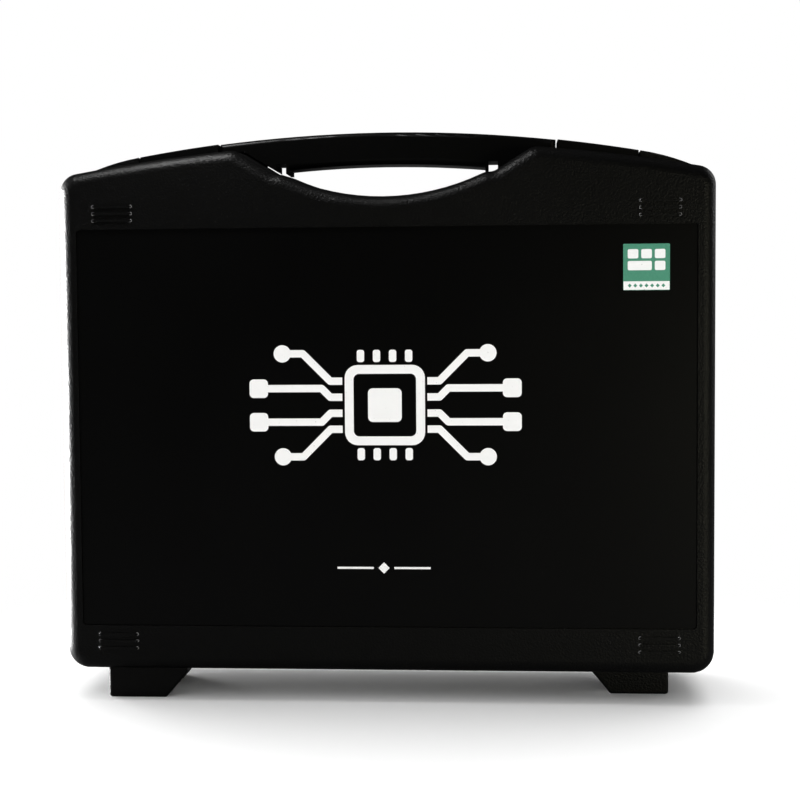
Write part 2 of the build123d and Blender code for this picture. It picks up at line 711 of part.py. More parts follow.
def module_board(x, z, width, height):
    """Circuit board of one module, held on four studs."""
    board = deck_box(x, z, width, height, BOARD_LOW, BOARD_TOP, 1.0)
    for place in stud_places(x, z, width, height):
        board = board - deck_rod(STUD_RADIUS + 0.2, *place, 0, 10)
    return board


def board_studs():
    """Spacers with a thread and a nut, four under each module board."""
    studs = []
    for x, z, width, height in BOARDS.values():
        for place in stud_places(x, z, width, height):
            nut = raised(Pos(*place) * RegularPolygon(STUD_NUT, 6), BOARD_TOP, BOARD_TOP + 1.6)
            spacer = deck_rod(STUD_SPACER, *place, 0, BOARD_LOW)
            thread = deck_rod(STUD_RADIUS, *place, 0, BOARD_TOP + 2.2)
            studs.append((spacer + thread + nut).solids()[0])
    return Compound(children=studs)


def display_frame():
    """Metal frame of the character display."""
    x, z = BOARDS["display_board"][:2]
    frame = deck_box(x, z, 87, 42, BOARD_TOP, BOARD_TOP + 7, 1.5)
    frame = frame - deck_box(x, z, DISPLAY_WIDTH + 0.4, DISPLAY_HEIGHT + 0.4, BOARD_TOP - 1, BOARD_TOP + 9)
    return fillet(frame.faces().sort_by(Axis.Y)[0].outer_wire().edges(), 0.8)


def display_glass():
    """Glass of the character display."""
    x, z = BOARDS["display_board"][:2]
    return deck_box(x, z, DISPLAY_WIDTH, DISPLAY_HEIGHT, BOARD_TOP, BOARD_TOP + 6.2)


def ultrasonic_cans():
    """Sender and receiver of the distance sensor."""
    x, z = BOARDS["ultrasonic_board"][:2]
    cans = []
    for side in (-CAN_SPACING / 2, CAN_SPACING / 2):
        can = deck_rod(CAN_RADIUS, x + side, z, BOARD_TOP, BOARD_TOP + CAN_HEIGHT)
        can = fillet(can.faces().sort_by(Axis.Y)[0].edges(), 0.8)
        top = BOARD_TOP + CAN_HEIGHT
        mouth = deck_rod(CAN_RADIUS - 1.6, x + side, z, top - 1.2, top + 1)
        cans.append(can - mouth)
    return Compound(children=cans)


def motion_dome():
    """Faceted lens of the motion sensor on its square collar."""
    x, z = BOARDS["motion_board"][:2]
    collar_top = BOARD_TOP + COLLAR_HEIGHT
    centre = DECK.from_local_coords(Vector(x, z, collar_top))
    dome = Pos(*centre) * Sphere(DOME_RADIUS)
    dome = dome & deck_rod(2 * DOME_RADIUS, x, z, collar_top - 0.5, collar_top + 2 * DOME_RADIUS)
    return dome + deck_box(x, z, COLLAR_SIZE, COLLAR_SIZE, BOARD_TOP, collar_top, 1.0)


def gas_sensor():
    """Stepped can of the gas sensor with a domed mesh cap."""
    x, z = BOARDS["gas_board"][:2]
    cap = deck_rod(GAS_CAP_RADIUS, x, z, BOARD_TOP + GAS_FOOT_HEIGHT - 0.5, BOARD_TOP + GAS_CAP_HEIGHT)
    cap = fillet(cap.faces().sort_by(Axis.Y)[0].edges(), 2.2)
    return cap + deck_rod(GAS_FOOT_RADIUS, x, z, BOARD_TOP, BOARD_TOP + GAS_FOOT_HEIGHT)


def humidity_sensor():
    """Slotted housing of the humidity sensor."""
    x, z = BOARDS["humidity_board"][:2]
    top = BOARD_TOP + 5.5
    body = deck_box(x, z, 15.5, 12, BOARD_TOP, top, 0.8)
    for i in (-1.5, -0.5, 0.5, 1.5):
        for j in (-1, 0, 1):
            body = body - deck_box(x + VENT_PITCH * i, z + VENT_PITCH * j, 2.2, 1.8, top - 2, top + 1, 0.4)
    return body


def light_sensor():
    """Light cell on two legs beside a trimmer."""
    x, z = BOARDS["light_board"][:2]
    cell = deck_rod(2.6, x - 7, z, BOARD_TOP + 3.0, BOARD_TOP + 5.2)
    for side in (-1.2, 1.2):
        cell = cell + deck_rod(0.3, x - 7 + side, z, BOARD_TOP, BOARD_TOP + 3.2)
    trimmer = deck_box(x + 5, z, 6.6, 6.8, BOARD_TOP, BOARD_TOP + 4.8)
    trimmer = trimmer - deck_rod(1.6, x + 5, z, BOARD_TOP + 4.2, BOARD_TOP + 6)
    return Compound(children=[cell, trimmer])


def indicator_leds():
    """Row of round indicator lamps."""
    x, z = BOARDS["led_board"][:2]
    lamps = []
    for step in range(LED_COUNT):
        place = x + (step - (LED_COUNT - 1) / 2) * LED_PITCH
        lamp = deck_rod(2.5, place, z, BOARD_TOP, BOARD_TOP + 7.6)
        lamp = fillet(lamp.faces().sort_by(Axis.Y)[0].edges(), 2.3)
        lamps.append(lamp + deck_rod(2.9, place, z, BOARD_TOP, BOARD_TOP + 1.0))
    return Compound(children=lamps)


def segment_display():
    """Four digit numeric display block."""
    return deck_box(SEGMENT_X, SEGMENT_Z, 50.3, 19, 0, 8, 0.5)


def relays():
    """Two relay cubes."""
    x, z = BOARDS["relay_board"][:2]
    cubes = []
    for side in (-RELAY_SPACING / 2, RELAY_SPACING / 2):
        cube = deck_box(x - 10, z + side, RELAY_LENGTH, RELAY_WIDTH, BOARD_TOP, BOARD_TOP + RELAY_HEIGHT, 1.0)
        cubes.append(fillet(cube.faces().sort_by(Axis.Y)[0].edges(), 0.6))
    return Compound(children=cubes)


def relay_terminals():
    """Screw terminal strip of the relays."""
    x, z = BOARDS["relay_board"][:2]
    strip = deck_box(x + 12, z, 8, 30.6, BOARD_TOP, BOARD_TOP + 10, 0.4)
    for step in range(TERMINALS):
        place = z + (step - (TERMINALS - 1) / 2) * TERMINAL_PITCH
        strip = strip - deck_rod(1.9, x + 11.4, place, BOARD_TOP + 6, BOARD_TOP + 11)
        strip = strip - deck_box(x + 16, place, 4, 3.4, BOARD_TOP + 1, BOARD_TOP + 5, 0.3)
    return strip


def buzzer():
    """Round sounder with a hole in its cap."""
    body = deck_rod(6.0, BUZZER_X, BUZZER_Z, 0, 9.5)
    body = fillet(body.faces().sort_by(Axis.Y)[0].edges(), 0.8)
    return body - deck_rod(1.2, BUZZER_X, BUZZER_Z, 8, 10)


def breadboard():
    """Block for plug-in wiring, with a centre channel and four rail grooves."""
    body = deck_box(BREAD_X, BREAD_Z, BREAD_WIDTH, BREAD_HEIGHT, 0, 8.5, 1.0)
    body = body - deck_box(BREAD_X, BREAD_Z, BREAD_WIDTH + 2, 3.0, 6.0, 9, 0.2)
    for side in (-1, 1):
        for row in (17.2, 26.2):
            body = body - deck_box(BREAD_X, BREAD_Z + side * row, BREAD_WIDTH + 2, 0.7, 7.9, 9, 0.2)
    return body


def controller_board():
    """Plug-in controller: board, its two pin strips and the bodies of its two keys."""
    board = deck_box(CONTROLLER_X, CONTROLLER_Z, 28.6, 52, CONTROLLER_LOW, CONTROLLER_TOP, 1.5)
    for side in (-1, 1):
        strip_x = CONTROLLER_X + side * HEADER_REACH
        key_x = CONTROLLER_X + side * KEY_REACH
        board = board + deck_box(strip_x, CONTROLLER_Z, 2.5, 48, HEADER_TOP, CONTROLLER_LOW + 0.1, 0.2)
        board = board + deck_box(key_x, KEY_Z, 6, 6, CONTROLLER_TOP, CONTROLLER_TOP + KEY_BODY_HEIGHT)
        board = board - deck_rod(KEY_RADIUS + 0.15, key_x, KEY_Z, CONTROLLER_TOP + 1.9, CONTROLLER_TOP + 5)
    return board


def controller_key(side):
    """Plunger of one small key on the controller."""
    x = CONTROLLER_X + side * KEY_REACH
    key = deck_rod(KEY_RADIUS, x, KEY_Z, CONTROLLER_TOP + 2.4, CONTROLLER_TOP + 4.4)
    return fillet(key.faces().sort_by(Axis.Y)[0].edges(), 0.3)


def controller_can():
    """Metal can over the radio."""
    can = deck_box(CONTROLLER_X, CONTROLLER_Z + 10, 16, 18, CONTROLLER_TOP, CONTROLLER_TOP + 3.0, 0.8)
    return fillet(can.faces().sort_by(Axis.Y)[0].edges(), 0.5)


def header_sockets():
    """Two socket strips that the controller plugs into."""
    strips = []
    for side in (-1, 1):
        x = CONTROLLER_X + side * HEADER_REACH
        strip = deck_box(x, CONTROLLER_Z, PIN_PITCH, HEADER_PINS * PIN_PITCH, 0, HEADER_TOP, 0.2)
        for step in range(HEADER_PINS):
            z = CONTROLLER_Z + (step - (HEADER_PINS - 1) / 2) * PIN_PITCH
            strip = strip - deck_box(x - side * 1.3, z, 0.8, 0.5, 2, 7, 0.1)
        strips.append(strip)
    return Compound(children=strips)


def usb_socket():
    """Metal socket at the lower end of the controller."""
    low = CONTROLLER_Z - 26.8
    shell = deck_box(CONTROLLER_X, low + 3.9, 9.0, 7.4, CONTROLLER_TOP, CONTROLLER_TOP + 3.3, 0.3)
    mouth = deck_box(CONTROLLER_X, low + 2.4, 7.8, 5.2, CONTROLLER_TOP + 0.6, CONTROLLER_TOP + 2.7, 0.3)
    tongue = deck_box(CONTROLLER_X, low + 3.0, 5.6, 4.4, CONTROLLER_TOP + 1.3, CONTROLLER_TOP + 2.0, 0.3)
    return shell - mouth + tongue


def button_bases():
    """Square bodies of the four push buttons."""
    bases = []
    for x in BUTTON_PLACES:
        base = deck_box(x, BUTTON_Z, BUTTON_SIZE, BUTTON_SIZE, 0, 4.2, 0.6)
        base = base + deck_rod(3.6, x, BUTTON_Z, 4.0, 4.9)
        bases.append((base - deck_box(x, BUTTON_Z, 4.0, 4.0, 2.0, 6, 0.3)).solids()[0])
    return Compound(children=bases)


def button_cap(x):
    """Round cap of one push button with its square stem."""
    cap = deck_rod(CAP_RADIUS, x, BUTTON_Z, 6.2, CAP_TOP)
    cap = fillet(cap.faces().sort_by(Axis.Y)[0].edges(), 1.0)
    return cap + deck_box(x, BUTTON_Z, 3.7, 3.7, 3.4, 6.4, 0.2)


def toggle_bodies():
    """Threaded bushes with nuts in front of the deck and switch bodies behind it."""
    bodies = []
    for x in TOGGLE_PLACES:
        body = deck_rod(TOGGLE_BUSH, x, TOGGLE_Z, -DECK_THICKNESS - 1, TOGGLE_RISE)
        body = body + raised(Pos(x, TOGGLE_Z) * RegularPolygon(4.9, 6), 0, 2.0)
        body = body + deck_box(x, TOGGLE_Z, 8, 13, -DECK_THICKNESS - 10, -DECK_THICKNESS, 0.5)
        centre = DECK.from_local_coords(Vector(x, TOGGLE_Z, (3.0 + TOGGLE_RISE + 1) / 2))
        mouth = Pos(*centre) * Rot(90, 0, 0) * Cone(1.75, 2.6, TOGGLE_RISE - 2.0)
        bodies.append((body - mouth).solids()[0])
    return Compound(children=bodies)


def toggle_lever(x):
    """Lever of one toggle switch, leaning to its upper stop."""
    pivot = DECK.from_local_coords(Vector(x, TOGGLE_Z, TOGGLE_PIVOT))
    stem = Pos(0, -6.5, 0) * Rot(90, 0, 0) * Cone(1.0, 1.8, 13)
    lever = Sphere(1.45) + stem + Pos(0, -13, 0) * Sphere(1.85)
    return Pos(*pivot) * Rot(-TOGGLE_LEAN, 0, 0) * lever


def potentiometer():
    """Turning resistor: body behind the deck, bush and nut in front."""
    body = deck_rod(8.2, POT_X, POT_Z, -DECK_THICKNESS - 9, -DECK_THICKNESS)
    body = body + deck_rod(POT_BUSH, POT_X, POT_Z, -DECK_THICKNESS - 1, 6.5)
    body = body + raised(Pos(POT_X, POT_Z) * RegularPolygon(5.8, 6), 0, 2.2)
    return body - deck_rod(POT_SHAFT + RUNNING_GAP, POT_X, POT_Z, -6, 10)


def control_knob():
    """Fluted knob with a pointer, on the shaft of the turning resistor."""
    grip = deck_rod(KNOB_RADIUS, POT_X, POT_Z, KNOB_SKIRT_LOW + 2.0, KNOB_TOP)
    grip = fillet(grip.faces().sort_by(Axis.Y)[0].edges(), 1.0)
    skirt = deck_rod(KNOB_SKIRT_RADIUS, POT_X, POT_Z, KNOB_SKIRT_LOW, KNOB_SKIRT_TOP)
    knob = grip + skirt
    reach = KNOB_RADIUS + 0.5
    for step in range(KNOB_FLUTES):
        angle = math.radians(360 / KNOB_FLUTES * step)
        x = POT_X + reach * math.cos(angle)
        z = POT_Z + reach * math.sin(angle)
        knob = knob - deck_rod(0.9, x, z, KNOB_SKIRT_TOP, KNOB_TOP + 1)
    pointer = deck_box(POT_X, POT_Z + 5.5, 1.2, 7.0, KNOB_TOP - 0.6, KNOB_TOP + 1, 0.3)
    return knob - pointer + deck_rod(POT_SHAFT, POT_X, POT_Z, -5.5, 8.0)


def power_switch():
    """Frame and body of the rocker switch."""
    frame = deck_box(SWITCH_X, SWITCH_Z, SWITCH_WIDTH, SWITCH_HEIGHT, 0, 2.0, 1.0)
    frame = frame + deck_box(SWITCH_X, SWITCH_Z, SWITCH_WIDTH - 2, SWITCH_HEIGHT - 2, -17, 0.1, 0.5)
    return frame - deck_box(SWITCH_X, SWITCH_Z, SWITCH_WIDTH - 3.6, SWITCH_HEIGHT - 3.2, -7, 5, 0.3)


def power_rocker():
    """Rocker of the power switch, resting with its lower end pressed in."""
    half = SWITCH_HEIGHT / 2 - 2.5
    side_view = make_face(Polyline((half, -2), (half, 4.4), (0, 2.6), (-half, 4.4), (-half, -2), close=True))
    width = SWITCH_WIDTH - 4.2
    side_plane = Plane(origin=(-width / 2, 0, 0), x_dir=(0, 0, 1), z_dir=(1, 0, 0))
    rocker = extrude(side_plane * side_view, amount=width)
    pivot = DECK.from_local_coords(Vector(SWITCH_X, SWITCH_Z, ROCKER_PIVOT))
    return Pos(*pivot) * Rot(ROCKER_LEAN, 0, 0) * rocker


def power_socket():
    """Round socket for the low voltage supply, with its centre pin."""
    body = raised(Pos(SOCKET_X, SOCKET_Z) * RegularPolygon(7.4, 6), 0, 2.4)
    body = body + deck_rod(SOCKET_BODY, SOCKET_X, SOCKET_Z, -DECK_THICKNESS - 11, 3.4)
    body = body - deck_rod(SOCKET_BORE, SOCKET_X, SOCKET_Z, -SOCKET_DEPTH, 6)
    return body + deck_rod(1.0, SOCKET_X, SOCKET_Z, -SOCKET_DEPTH - 0.5, 1.5)


def servo():
    """Small servo motor standing on the deck."""
    body = deck_box(SERVO_X, SERVO_Z, SERVO_LENGTH, SERVO_WIDTH, 0, 20.5, 0.6)
    body = body + deck_box(SERVO_X, SERVO_Z, SERVO_EARS, SERVO_WIDTH, 14.5, 17.0, 0.8)
    body = body + deck_rod(5.9, SERVO_X + SERVO_SHAFT_X, SERVO_Z, 20, 24.0)
    body = body + deck_rod(3.0, SERVO_X - 0.9, SERVO_Z, 20, 24.0)
    for side in (-1, 1):
        body = body - deck_rod(1.0, SERVO_X + side * 14, SERVO_Z, 10, 20)
    return body + deck_rod(SERVO_SPLINE, SERVO_X + SERVO_SHAFT_X, SERVO_Z, 23, 26.8)


def servo_horn():
    """One armed horn on the servo's spline."""
    x = SERVO_X + SERVO_SHAFT_X
    end_x = x + HORN_LENGTH
    hub = deck_rod(3.5, x, SERVO_Z, 24.4, HORN_TOP)
    sides = [(x, SERVO_Z - 2.6), (end_x, SERVO_Z - 1.6), (end_x, SERVO_Z + 1.6), (x, SERVO_Z + 2.6)]
    arm = raised(make_face(Polyline(*sides, close=True)), HORN_LOW, HORN_TOP)
    horn = hub + arm + deck_rod(1.6, end_x, SERVO_Z, HORN_LOW, HORN_TOP)
    for step in range(HORN_HOLES):
        horn = horn - deck_rod(0.5, x + 6.5 + 2.1 * step, SERVO_Z, HORN_LOW - 1, HORN_TOP + 1)
    return horn - deck_rod(SERVO_SPLINE + RUNNING_GAP, x, SERVO_Z, 24, 27.2)


def fan_motor():
    """Small motor that stands in a clamp, with its shaft."""
    body = deck_rod(10.0, FAN_X, FAN_Z, 0, 16) & deck_box(FAN_X, FAN_Z, 30, 15.4, -1, 17)
    clamp = deck_box(FAN_X, FAN_Z, 34, 12, 0, 3, 2.0) + deck_box(FAN_X, FAN_Z, 23.5, 12, 0, 11, 1.0)
    boss = deck_rod(3.0, FAN_X, FAN_Z, 15, 17.6)
    return body + clamp + boss + deck_rod(1.0, FAN_X, FAN_Z, 17, 25)


def fan_blades():
    """Four twisted blades on a hub."""
    hub = deck_rod(4.0, FAN_X, FAN_Z, 19.0, 25.6)
    hub = fillet(hub.faces().sort_by(Axis.Y)[0].edges(), 1.2)
    fan = hub
    centre = DECK.from_local_coords(Vector(FAN_X, FAN_Z, 22.2))
    tips = Plane(origin=(0, 0, 0), x_dir=(1, 0, 0), z_dir=(0, 0, 1))
    for step in range(FAN_COUNT):
        root = tips.offset(2.5) * Rot(0, 0, 38) * RectangleRounded(6.5, 1.2, 0.5)
        tip = tips.offset(FAN_RADIUS) * Rot(0, 0, 18) * RectangleRounded(13, 0.9, 0.4)
        blade = loft([root, tip])
        fan = fan + Pos(*centre) * Rot(0, 360 / FAN_COUNT * step, 0) * blade
    return fan - deck_rod(1.0 + RUNNING_GAP, FAN_X, FAN_Z, 18, 25.2)


def lid_foam():
    """Foam pad inside the lid."""
    return extrude(facing(FOAM_FRONT) * offset(rim_outline(), -FOAM_MARGIN), amount=FOAM_BACK - FOAM_FRONT)


def front_label():
    """Printed sheet that fills the sunken front panel."""
    width = 2 * PANEL_HALF_WIDTH - PANEL_FIT
    height = PANEL_HIGH - PANEL_LOW - PANEL_FIT
    sheet = Pos(0, (PANEL_HIGH + PANEL_LOW) / 2) * RectangleRounded(width, height, PANEL_CORNER - 0.3)
    return extrude(facing(SHELL_DEPTH - PANEL_STEP) * sheet, amount=LABEL_THICKNESS)


def corner_sticker():
    """Small square sticker on the printed sheet."""
    sheet = Pos(STICKER_X, STICKER_Z) * RectangleRounded(STICKER_SIZE, STICKER_SIZE, 0.6)
    return extrude(facing(SHELL_DEPTH - PANEL_STEP + LABEL_THICKNESS) * sheet, amount=STICKER_THICKNESS)


def save(name, piece):
    """Write one node."""
    export_step(piece, f"parts/{name}.step")


os.makedirs("parts", exist_ok=True)
save("front_shell", front_shell())
save("rear_shell", rear_shell())
save("carry_handle", carry_handle())
save("handle_screws", handle_screws())
save("latch_left", latch(-1))
save("latch_right", latch(1))
save("latch_pins", Compound(children=[latch_pin(-1), latch_pin(1)]))
save("hinge_pin_left", hinge_pin(-1))
save("hinge_pin_right", hinge_pin(1))
save("lid_foam", lid_foam())
save("front_label", front_label())
save("corner_sticker", corner_sticker())
save("deck_panel", deck_panel())
save("case_screws", case_screws())
save("power_supply", power_supply())
save("board_studs", board_studs())
for name, place in BOARDS.items():
    save(name, module_board(*place))
save("display_frame", display_frame())
save("display_glass", display_glass())
save("ultrasonic_cans", ultrasonic_cans())
save("motion_dome", motion_dome())
save("gas_sensor", gas_sensor())
save("humidity_sensor", humidity_sensor())
save("light_sensor", light_sensor())
save("indicator_leds", indicator_leds())
save("segment_display", segment_display())
save("relays", relays())
save("relay_terminals", relay_terminals())
save("buzzer", buzzer())
save("breadboard", breadboard())
save("controller_board", controller_board())
save("controller_can", controller_can())
save("header_sockets", header_sockets())
save("usb_socket", usb_socket())
save("reset_key", controller_key(-1))
save("boot_key", controller_key(1))
save("button_bases", button_bases())
for number, x in enumerate(BUTTON_PLACES, start=1):
    save(f"button_cap_{number}", button_cap(x))
save("toggle_bodies", toggle_bodies())
for number, x in enumerate(TOGGLE_PLACES, start=1):
    save(f"toggle_lever_{number}", toggle_lever(x))
save("potentiometer", potentiometer())
save("control_knob", control_knob())
save("power_switch", power_switch())
save("power_rocker", power_rocker())
save("power_socket", power_socket())
save("servo", servo())
save("servo_horn", servo_horn())
save("fan_motor", fan_motor())
save("fan_blades", fan_blades())
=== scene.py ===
# %% [markdown]
# # A trainer kit for connected electronics, in its carrying case
# The object is a black moulded case, closed and standing on its feet. Inside is a deck of small
# electronics modules. The engineering model gives every part in its true place, in metres, with the front
# of the case towards -Y. This lesson gives those parts their finish, and adds the details that an
# engineering model leaves out: the print on the lid, the soft foam, the solder and pins on the boards.

# %% Load the frame
import itertools
import math
import random

import bmesh
import bpy
from mathutils import Matrix, Vector


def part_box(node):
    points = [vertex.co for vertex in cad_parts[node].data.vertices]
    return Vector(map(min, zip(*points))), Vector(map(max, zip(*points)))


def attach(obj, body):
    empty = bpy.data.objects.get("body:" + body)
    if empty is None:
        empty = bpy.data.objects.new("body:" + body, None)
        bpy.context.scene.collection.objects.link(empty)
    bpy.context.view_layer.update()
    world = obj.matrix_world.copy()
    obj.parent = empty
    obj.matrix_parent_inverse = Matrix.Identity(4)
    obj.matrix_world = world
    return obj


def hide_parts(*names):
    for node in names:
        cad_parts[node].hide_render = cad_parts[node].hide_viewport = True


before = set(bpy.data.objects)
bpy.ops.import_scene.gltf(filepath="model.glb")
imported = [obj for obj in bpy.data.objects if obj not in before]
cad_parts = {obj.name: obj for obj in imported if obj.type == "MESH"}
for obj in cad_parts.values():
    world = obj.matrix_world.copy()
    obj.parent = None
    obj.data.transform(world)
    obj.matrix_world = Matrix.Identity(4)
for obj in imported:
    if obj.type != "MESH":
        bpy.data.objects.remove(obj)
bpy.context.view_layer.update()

# %% [markdown]
# ## The camera
# The photograph was taken from a little above the middle of the case and slightly to its right. A camera
# fitted to the outline of the case gives the place, the turn and the lens. A long lens keeps the sides of
# the case almost parallel, as they are in the photograph.

# %% Camera
CAMERA_PLACE = (0.0731, -0.950, 0.2376)
CAMERA_TURNS = (("Z", 4.0), ("X", 87.0), ("Z", -0.4))
LENS = 65.68
SENSOR = 36.0

camera_data = bpy.data.cameras.new("photo_camera")
camera_data.sensor_width = SENSOR
camera_data.lens = LENS
camera = bpy.data.objects.new("photo_camera", camera_data)
stand = Matrix.Translation(CAMERA_PLACE)
for axis, degrees in CAMERA_TURNS:
    stand = stand @ Matrix.Rotation(math.radians(degrees), 4, axis)
camera.matrix_world = stand
bpy.context.scene.collection.objects.link(camera)
bpy.context.scene.camera = camera
print("camera at", tuple(round(v, 3) for v in camera.matrix_world.translation))

# %% [markdown]
# ## Short words for shader nodes
# Every finish below is a small graph of nodes. These helpers make a node, plug values or other nodes into
# it, and make a group: an effect that is built once, with named inputs and outputs, and used by many
# finishes.

# %% Node helpers
def plug(tree, socket, value):
    """Set a socket, or link it where the value comes from another node."""
    if isinstance(value, bpy.types.NodeSocket):
        tree.links.new(value, socket)
    elif socket.type == "RGBA":
        socket.default_value = (*value, 1.0)
    else:
        socket.default_value = value


def node(tree, kind, inputs=None, **settings):
    """One shader node with its settings and its inputs."""
    made = tree.nodes.new("ShaderNode" + kind)
    for key, value in settings.items():
        setattr(made, key, value)
    for key, value in (inputs or {}).items():
        plug(tree, made.inputs[key], value)
    return made


def sums(tree, operation, *values):
    """The result of one sum."""
    return node(tree, "Math", dict(enumerate(values)), operation=operation).outputs[0]


def times(tree, value, *others):
    """The product of two or more values."""
    for other in others:
        value = sums(tree, "MULTIPLY", value, other)
    return value


def minus(tree, value, other):
    """One value less another."""
    return sums(tree, "SUBTRACT", value, other)


def above(tree, value, limit):
    """1 where a value is over its limit, and 0 elsewhere."""
    return sums(tree, "GREATER_THAN", value, limit)


def below(tree, value, limit):
    """1 where a value is under its limit, and 0 elsewhere."""
    return sums(tree, "LESS_THAN", value, limit)


def span(tree, value, low, high, to_low=0.0, to_high=1.0):
    """A value carried from one range to another, and held inside it."""
    inputs = {"Value": value, "From Min": low, "From Max": high, "To Min": to_low, "To Max": to_high}
    return node(tree, "MapRange", inputs).outputs["Result"]


def mixed(tree, mask, first, second):
    """Two colours blended by a mask."""
    return node(tree, "Mix", {0: mask, 6: first, 7: second}, data_type="RGBA").outputs[2]


def speckle(tree, place, scale, detail=3.0, rough=0.55):
    """Soft random value from 0 to 1."""
    inputs = {"Vector": place, "Scale": scale, "Detail": detail, "Roughness": rough}
    return node(tree, "TexNoise", inputs).outputs[0]


def metres(tree):
    """The place of a point on its own part, in metres."""
    return node(tree, "TexCoord").outputs["Object"]


def new_group(name, inputs, outputs):
    """An empty group with named numbers going in and coming out."""
    group = bpy.data.node_groups.new(name, "ShaderNodeTree")
    for label, value in inputs.items():
        socket = group.interface.new_socket(name=label, in_out="INPUT", socket_type="NodeSocketFloat")
        socket.default_value = value
    for label in outputs:
        group.interface.new_socket(name=label, in_out="OUTPUT", socket_type="NodeSocketFloat")
    return group, group.nodes.new("NodeGroupInput").outputs, group.nodes.new("NodeGroupOutput").inputs


def use(tree, group, **values):
    """A group placed in a finish, with its own values."""
    placed = tree.nodes.new("ShaderNodeGroup")
    placed.node_tree = group
    for label, value in values.items():
        plug(tree, placed.inputs[label], value)
    return placed.outputs


def grey(level):
    """A colour without a hue."""
    return (level, level, level)


# %% [markdown]
# ## The floor and the light
# The case stands on a pale floor that runs out of sight. Black plastic shows little more than what it
# reflects, so the light is what draws it: a wide soft lamp above and behind the case, which is much
# weaker in gloss than on dull surfaces, one behind the left side and no higher than the case for the
# bright left edge, a weak one behind the right side, a small one close to the upper left that grazes the
# grain, and a warm low one in front at the right that lifts the lower right of the panel. The world and
# the floor look white, and they light white print, but they are nearly dark in reflections, because a
# bright room in front would turn the black front grey. Seen directly, the floor fades into the white
# world a little way from the case, so no horizon shows. The case stands upright, and its lid opens all
# the way only when the case lies on its back, so here the opened lid hangs below the floor. An Ambient
# Occlusion node that looks down through the floor finds it, and the floor turns clear there.

# %% Floor, lamps and world
FLOOR_RADIUS = 9.0
FADE_START = 0.22
FADE_END = 0.42
LOOK_BELOW = 0.7
LOOKS = 32
CLEAR_AT = 0.97
FLOOR_WHITE = 0.90
FLOOR_IN_GLOSS = 0.09
WORLD_STRENGTH = 0.86
WORLD_SEEN = 0.14
WORLD_IN_GLOSS = -0.86


def floor_paint():
    """White paint that clears away far from the case and over anything below the floor."""
    paint = bpy.data.materials.new("floor_paint")
    paint.use_nodes = True
    tree = paint.node_tree
    shader = tree.nodes["Principled BSDF"]
    ray = node(tree, "LightPath").outputs
    seen = mixed(tree, ray["Is Glossy Ray"], grey(FLOOR_WHITE), grey(FLOOR_IN_GLOSS))
    plug(tree, shader.inputs["Base Color"], seen)
    shader.inputs["Roughness"].default_value = 0.9
    shader.inputs["Specular IOR Level"].default_value = 0.1
    distance = node(tree, "VectorMath", {0: metres(tree)}, operation="LENGTH").outputs["Value"]
    fade = node(tree, "MapRange", {"Value": distance, "From Min": FADE_START, "From Max": FADE_END},
                interpolation_type="SMOOTHSTEP").outputs["Result"]
    far_off = times(tree, fade, ray["Is Camera Ray"])
    looking = node(tree, "AmbientOcclusion", {"Distance": LOOK_BELOW}, inside=True, samples=LOOKS)
    opened = span(tree, looking.outputs["AO"], 1.0, CLEAR_AT)
    clear = node(tree, "BsdfTransparent").outputs["BSDF"]
    share = sums(tree, "MAXIMUM", far_off, opened)
    blend = node(tree, "MixShader", {0: share, 1: shader.outputs["BSDF"], 2: clear})
    plug(tree, tree.nodes["Material Output"].inputs["Surface"], blend.outputs[0])
    return paint


def pale_floor():
    """A wide round floor, just under the feet."""
    form = bmesh.new()
    bmesh.ops.create_circle(form, cap_ends=True, segments=96, radius=FLOOR_RADIUS)
    mesh = bpy.data.meshes.new("pale_floor")
    form.to_mesh(mesh)
    form.free()
    floor = bpy.data.objects.new("pale_floor", mesh)
    bpy.context.scene.collection.objects.link(floor)
    mesh.materials.append(floor_paint())
    return floor


def soft_lamp(name, place, target, size, watts, colour, diffuse, gloss):
    """A lamp that faces a point. One without diffuse light casts no shadow on the floor."""
    data = bpy.data.lights.new(name, "AREA")
    data.shape = "RECTANGLE"
    data.size, data.size_y = size
    data.energy = watts
    data.color = colour
    lamp = bpy.data.objects.new(name, data)
    lamp.location = place
    lamp.rotation_euler = (Vector(target) - Vector(place)).to_track_quat("-Z", "Y").to_euler()
    lamp.visible_diffuse = diffuse
    lamp.visible_glossy = gloss
    bpy.context.scene.collection.objects.link(lamp)
    return lamp


pale_floor()

WHITE = grey(1.0)
WARM = (1.0, 0.97, 0.72)
# Name, place, target, size, watts and colour. Then: does it light dull surfaces, does it show in gloss?
LAMPS = (
    ("lamp_above", (0.0, 0.35, 1.7), (0, 0.05, 0.2), (2.2, 1.2), 30, WHITE, True, False),
    ("lamp_above_gloss", (0.0, 0.35, 1.7), (0, 0.05, 0.2), (2.2, 1.2), 6, WHITE, False, True),
    ("lamp_left", (-0.9, 0.30, 0.14), (-0.2, -0.03, 0.14), (0.8, 0.36), 170, WHITE, False, True),
    ("lamp_right", (1.5, 0.7, 0.9), (0.1, 0, 0.2), (0.6, 1.2), 6, WHITE, False, True),
    ("lamp_grazing", (-0.22, -0.17, 0.66), (-0.1, -0.05, 0.33), (0.05, 0.05), 1.1, WHITE, False, True),
    ("lamp_front", (1.0, -1.4, 0.10), (0.1, 0, 0.08), (0.5, 0.2), 2.6, WARM, True, True),
)
for lamp in LAMPS:
    soft_lamp(*lamp)

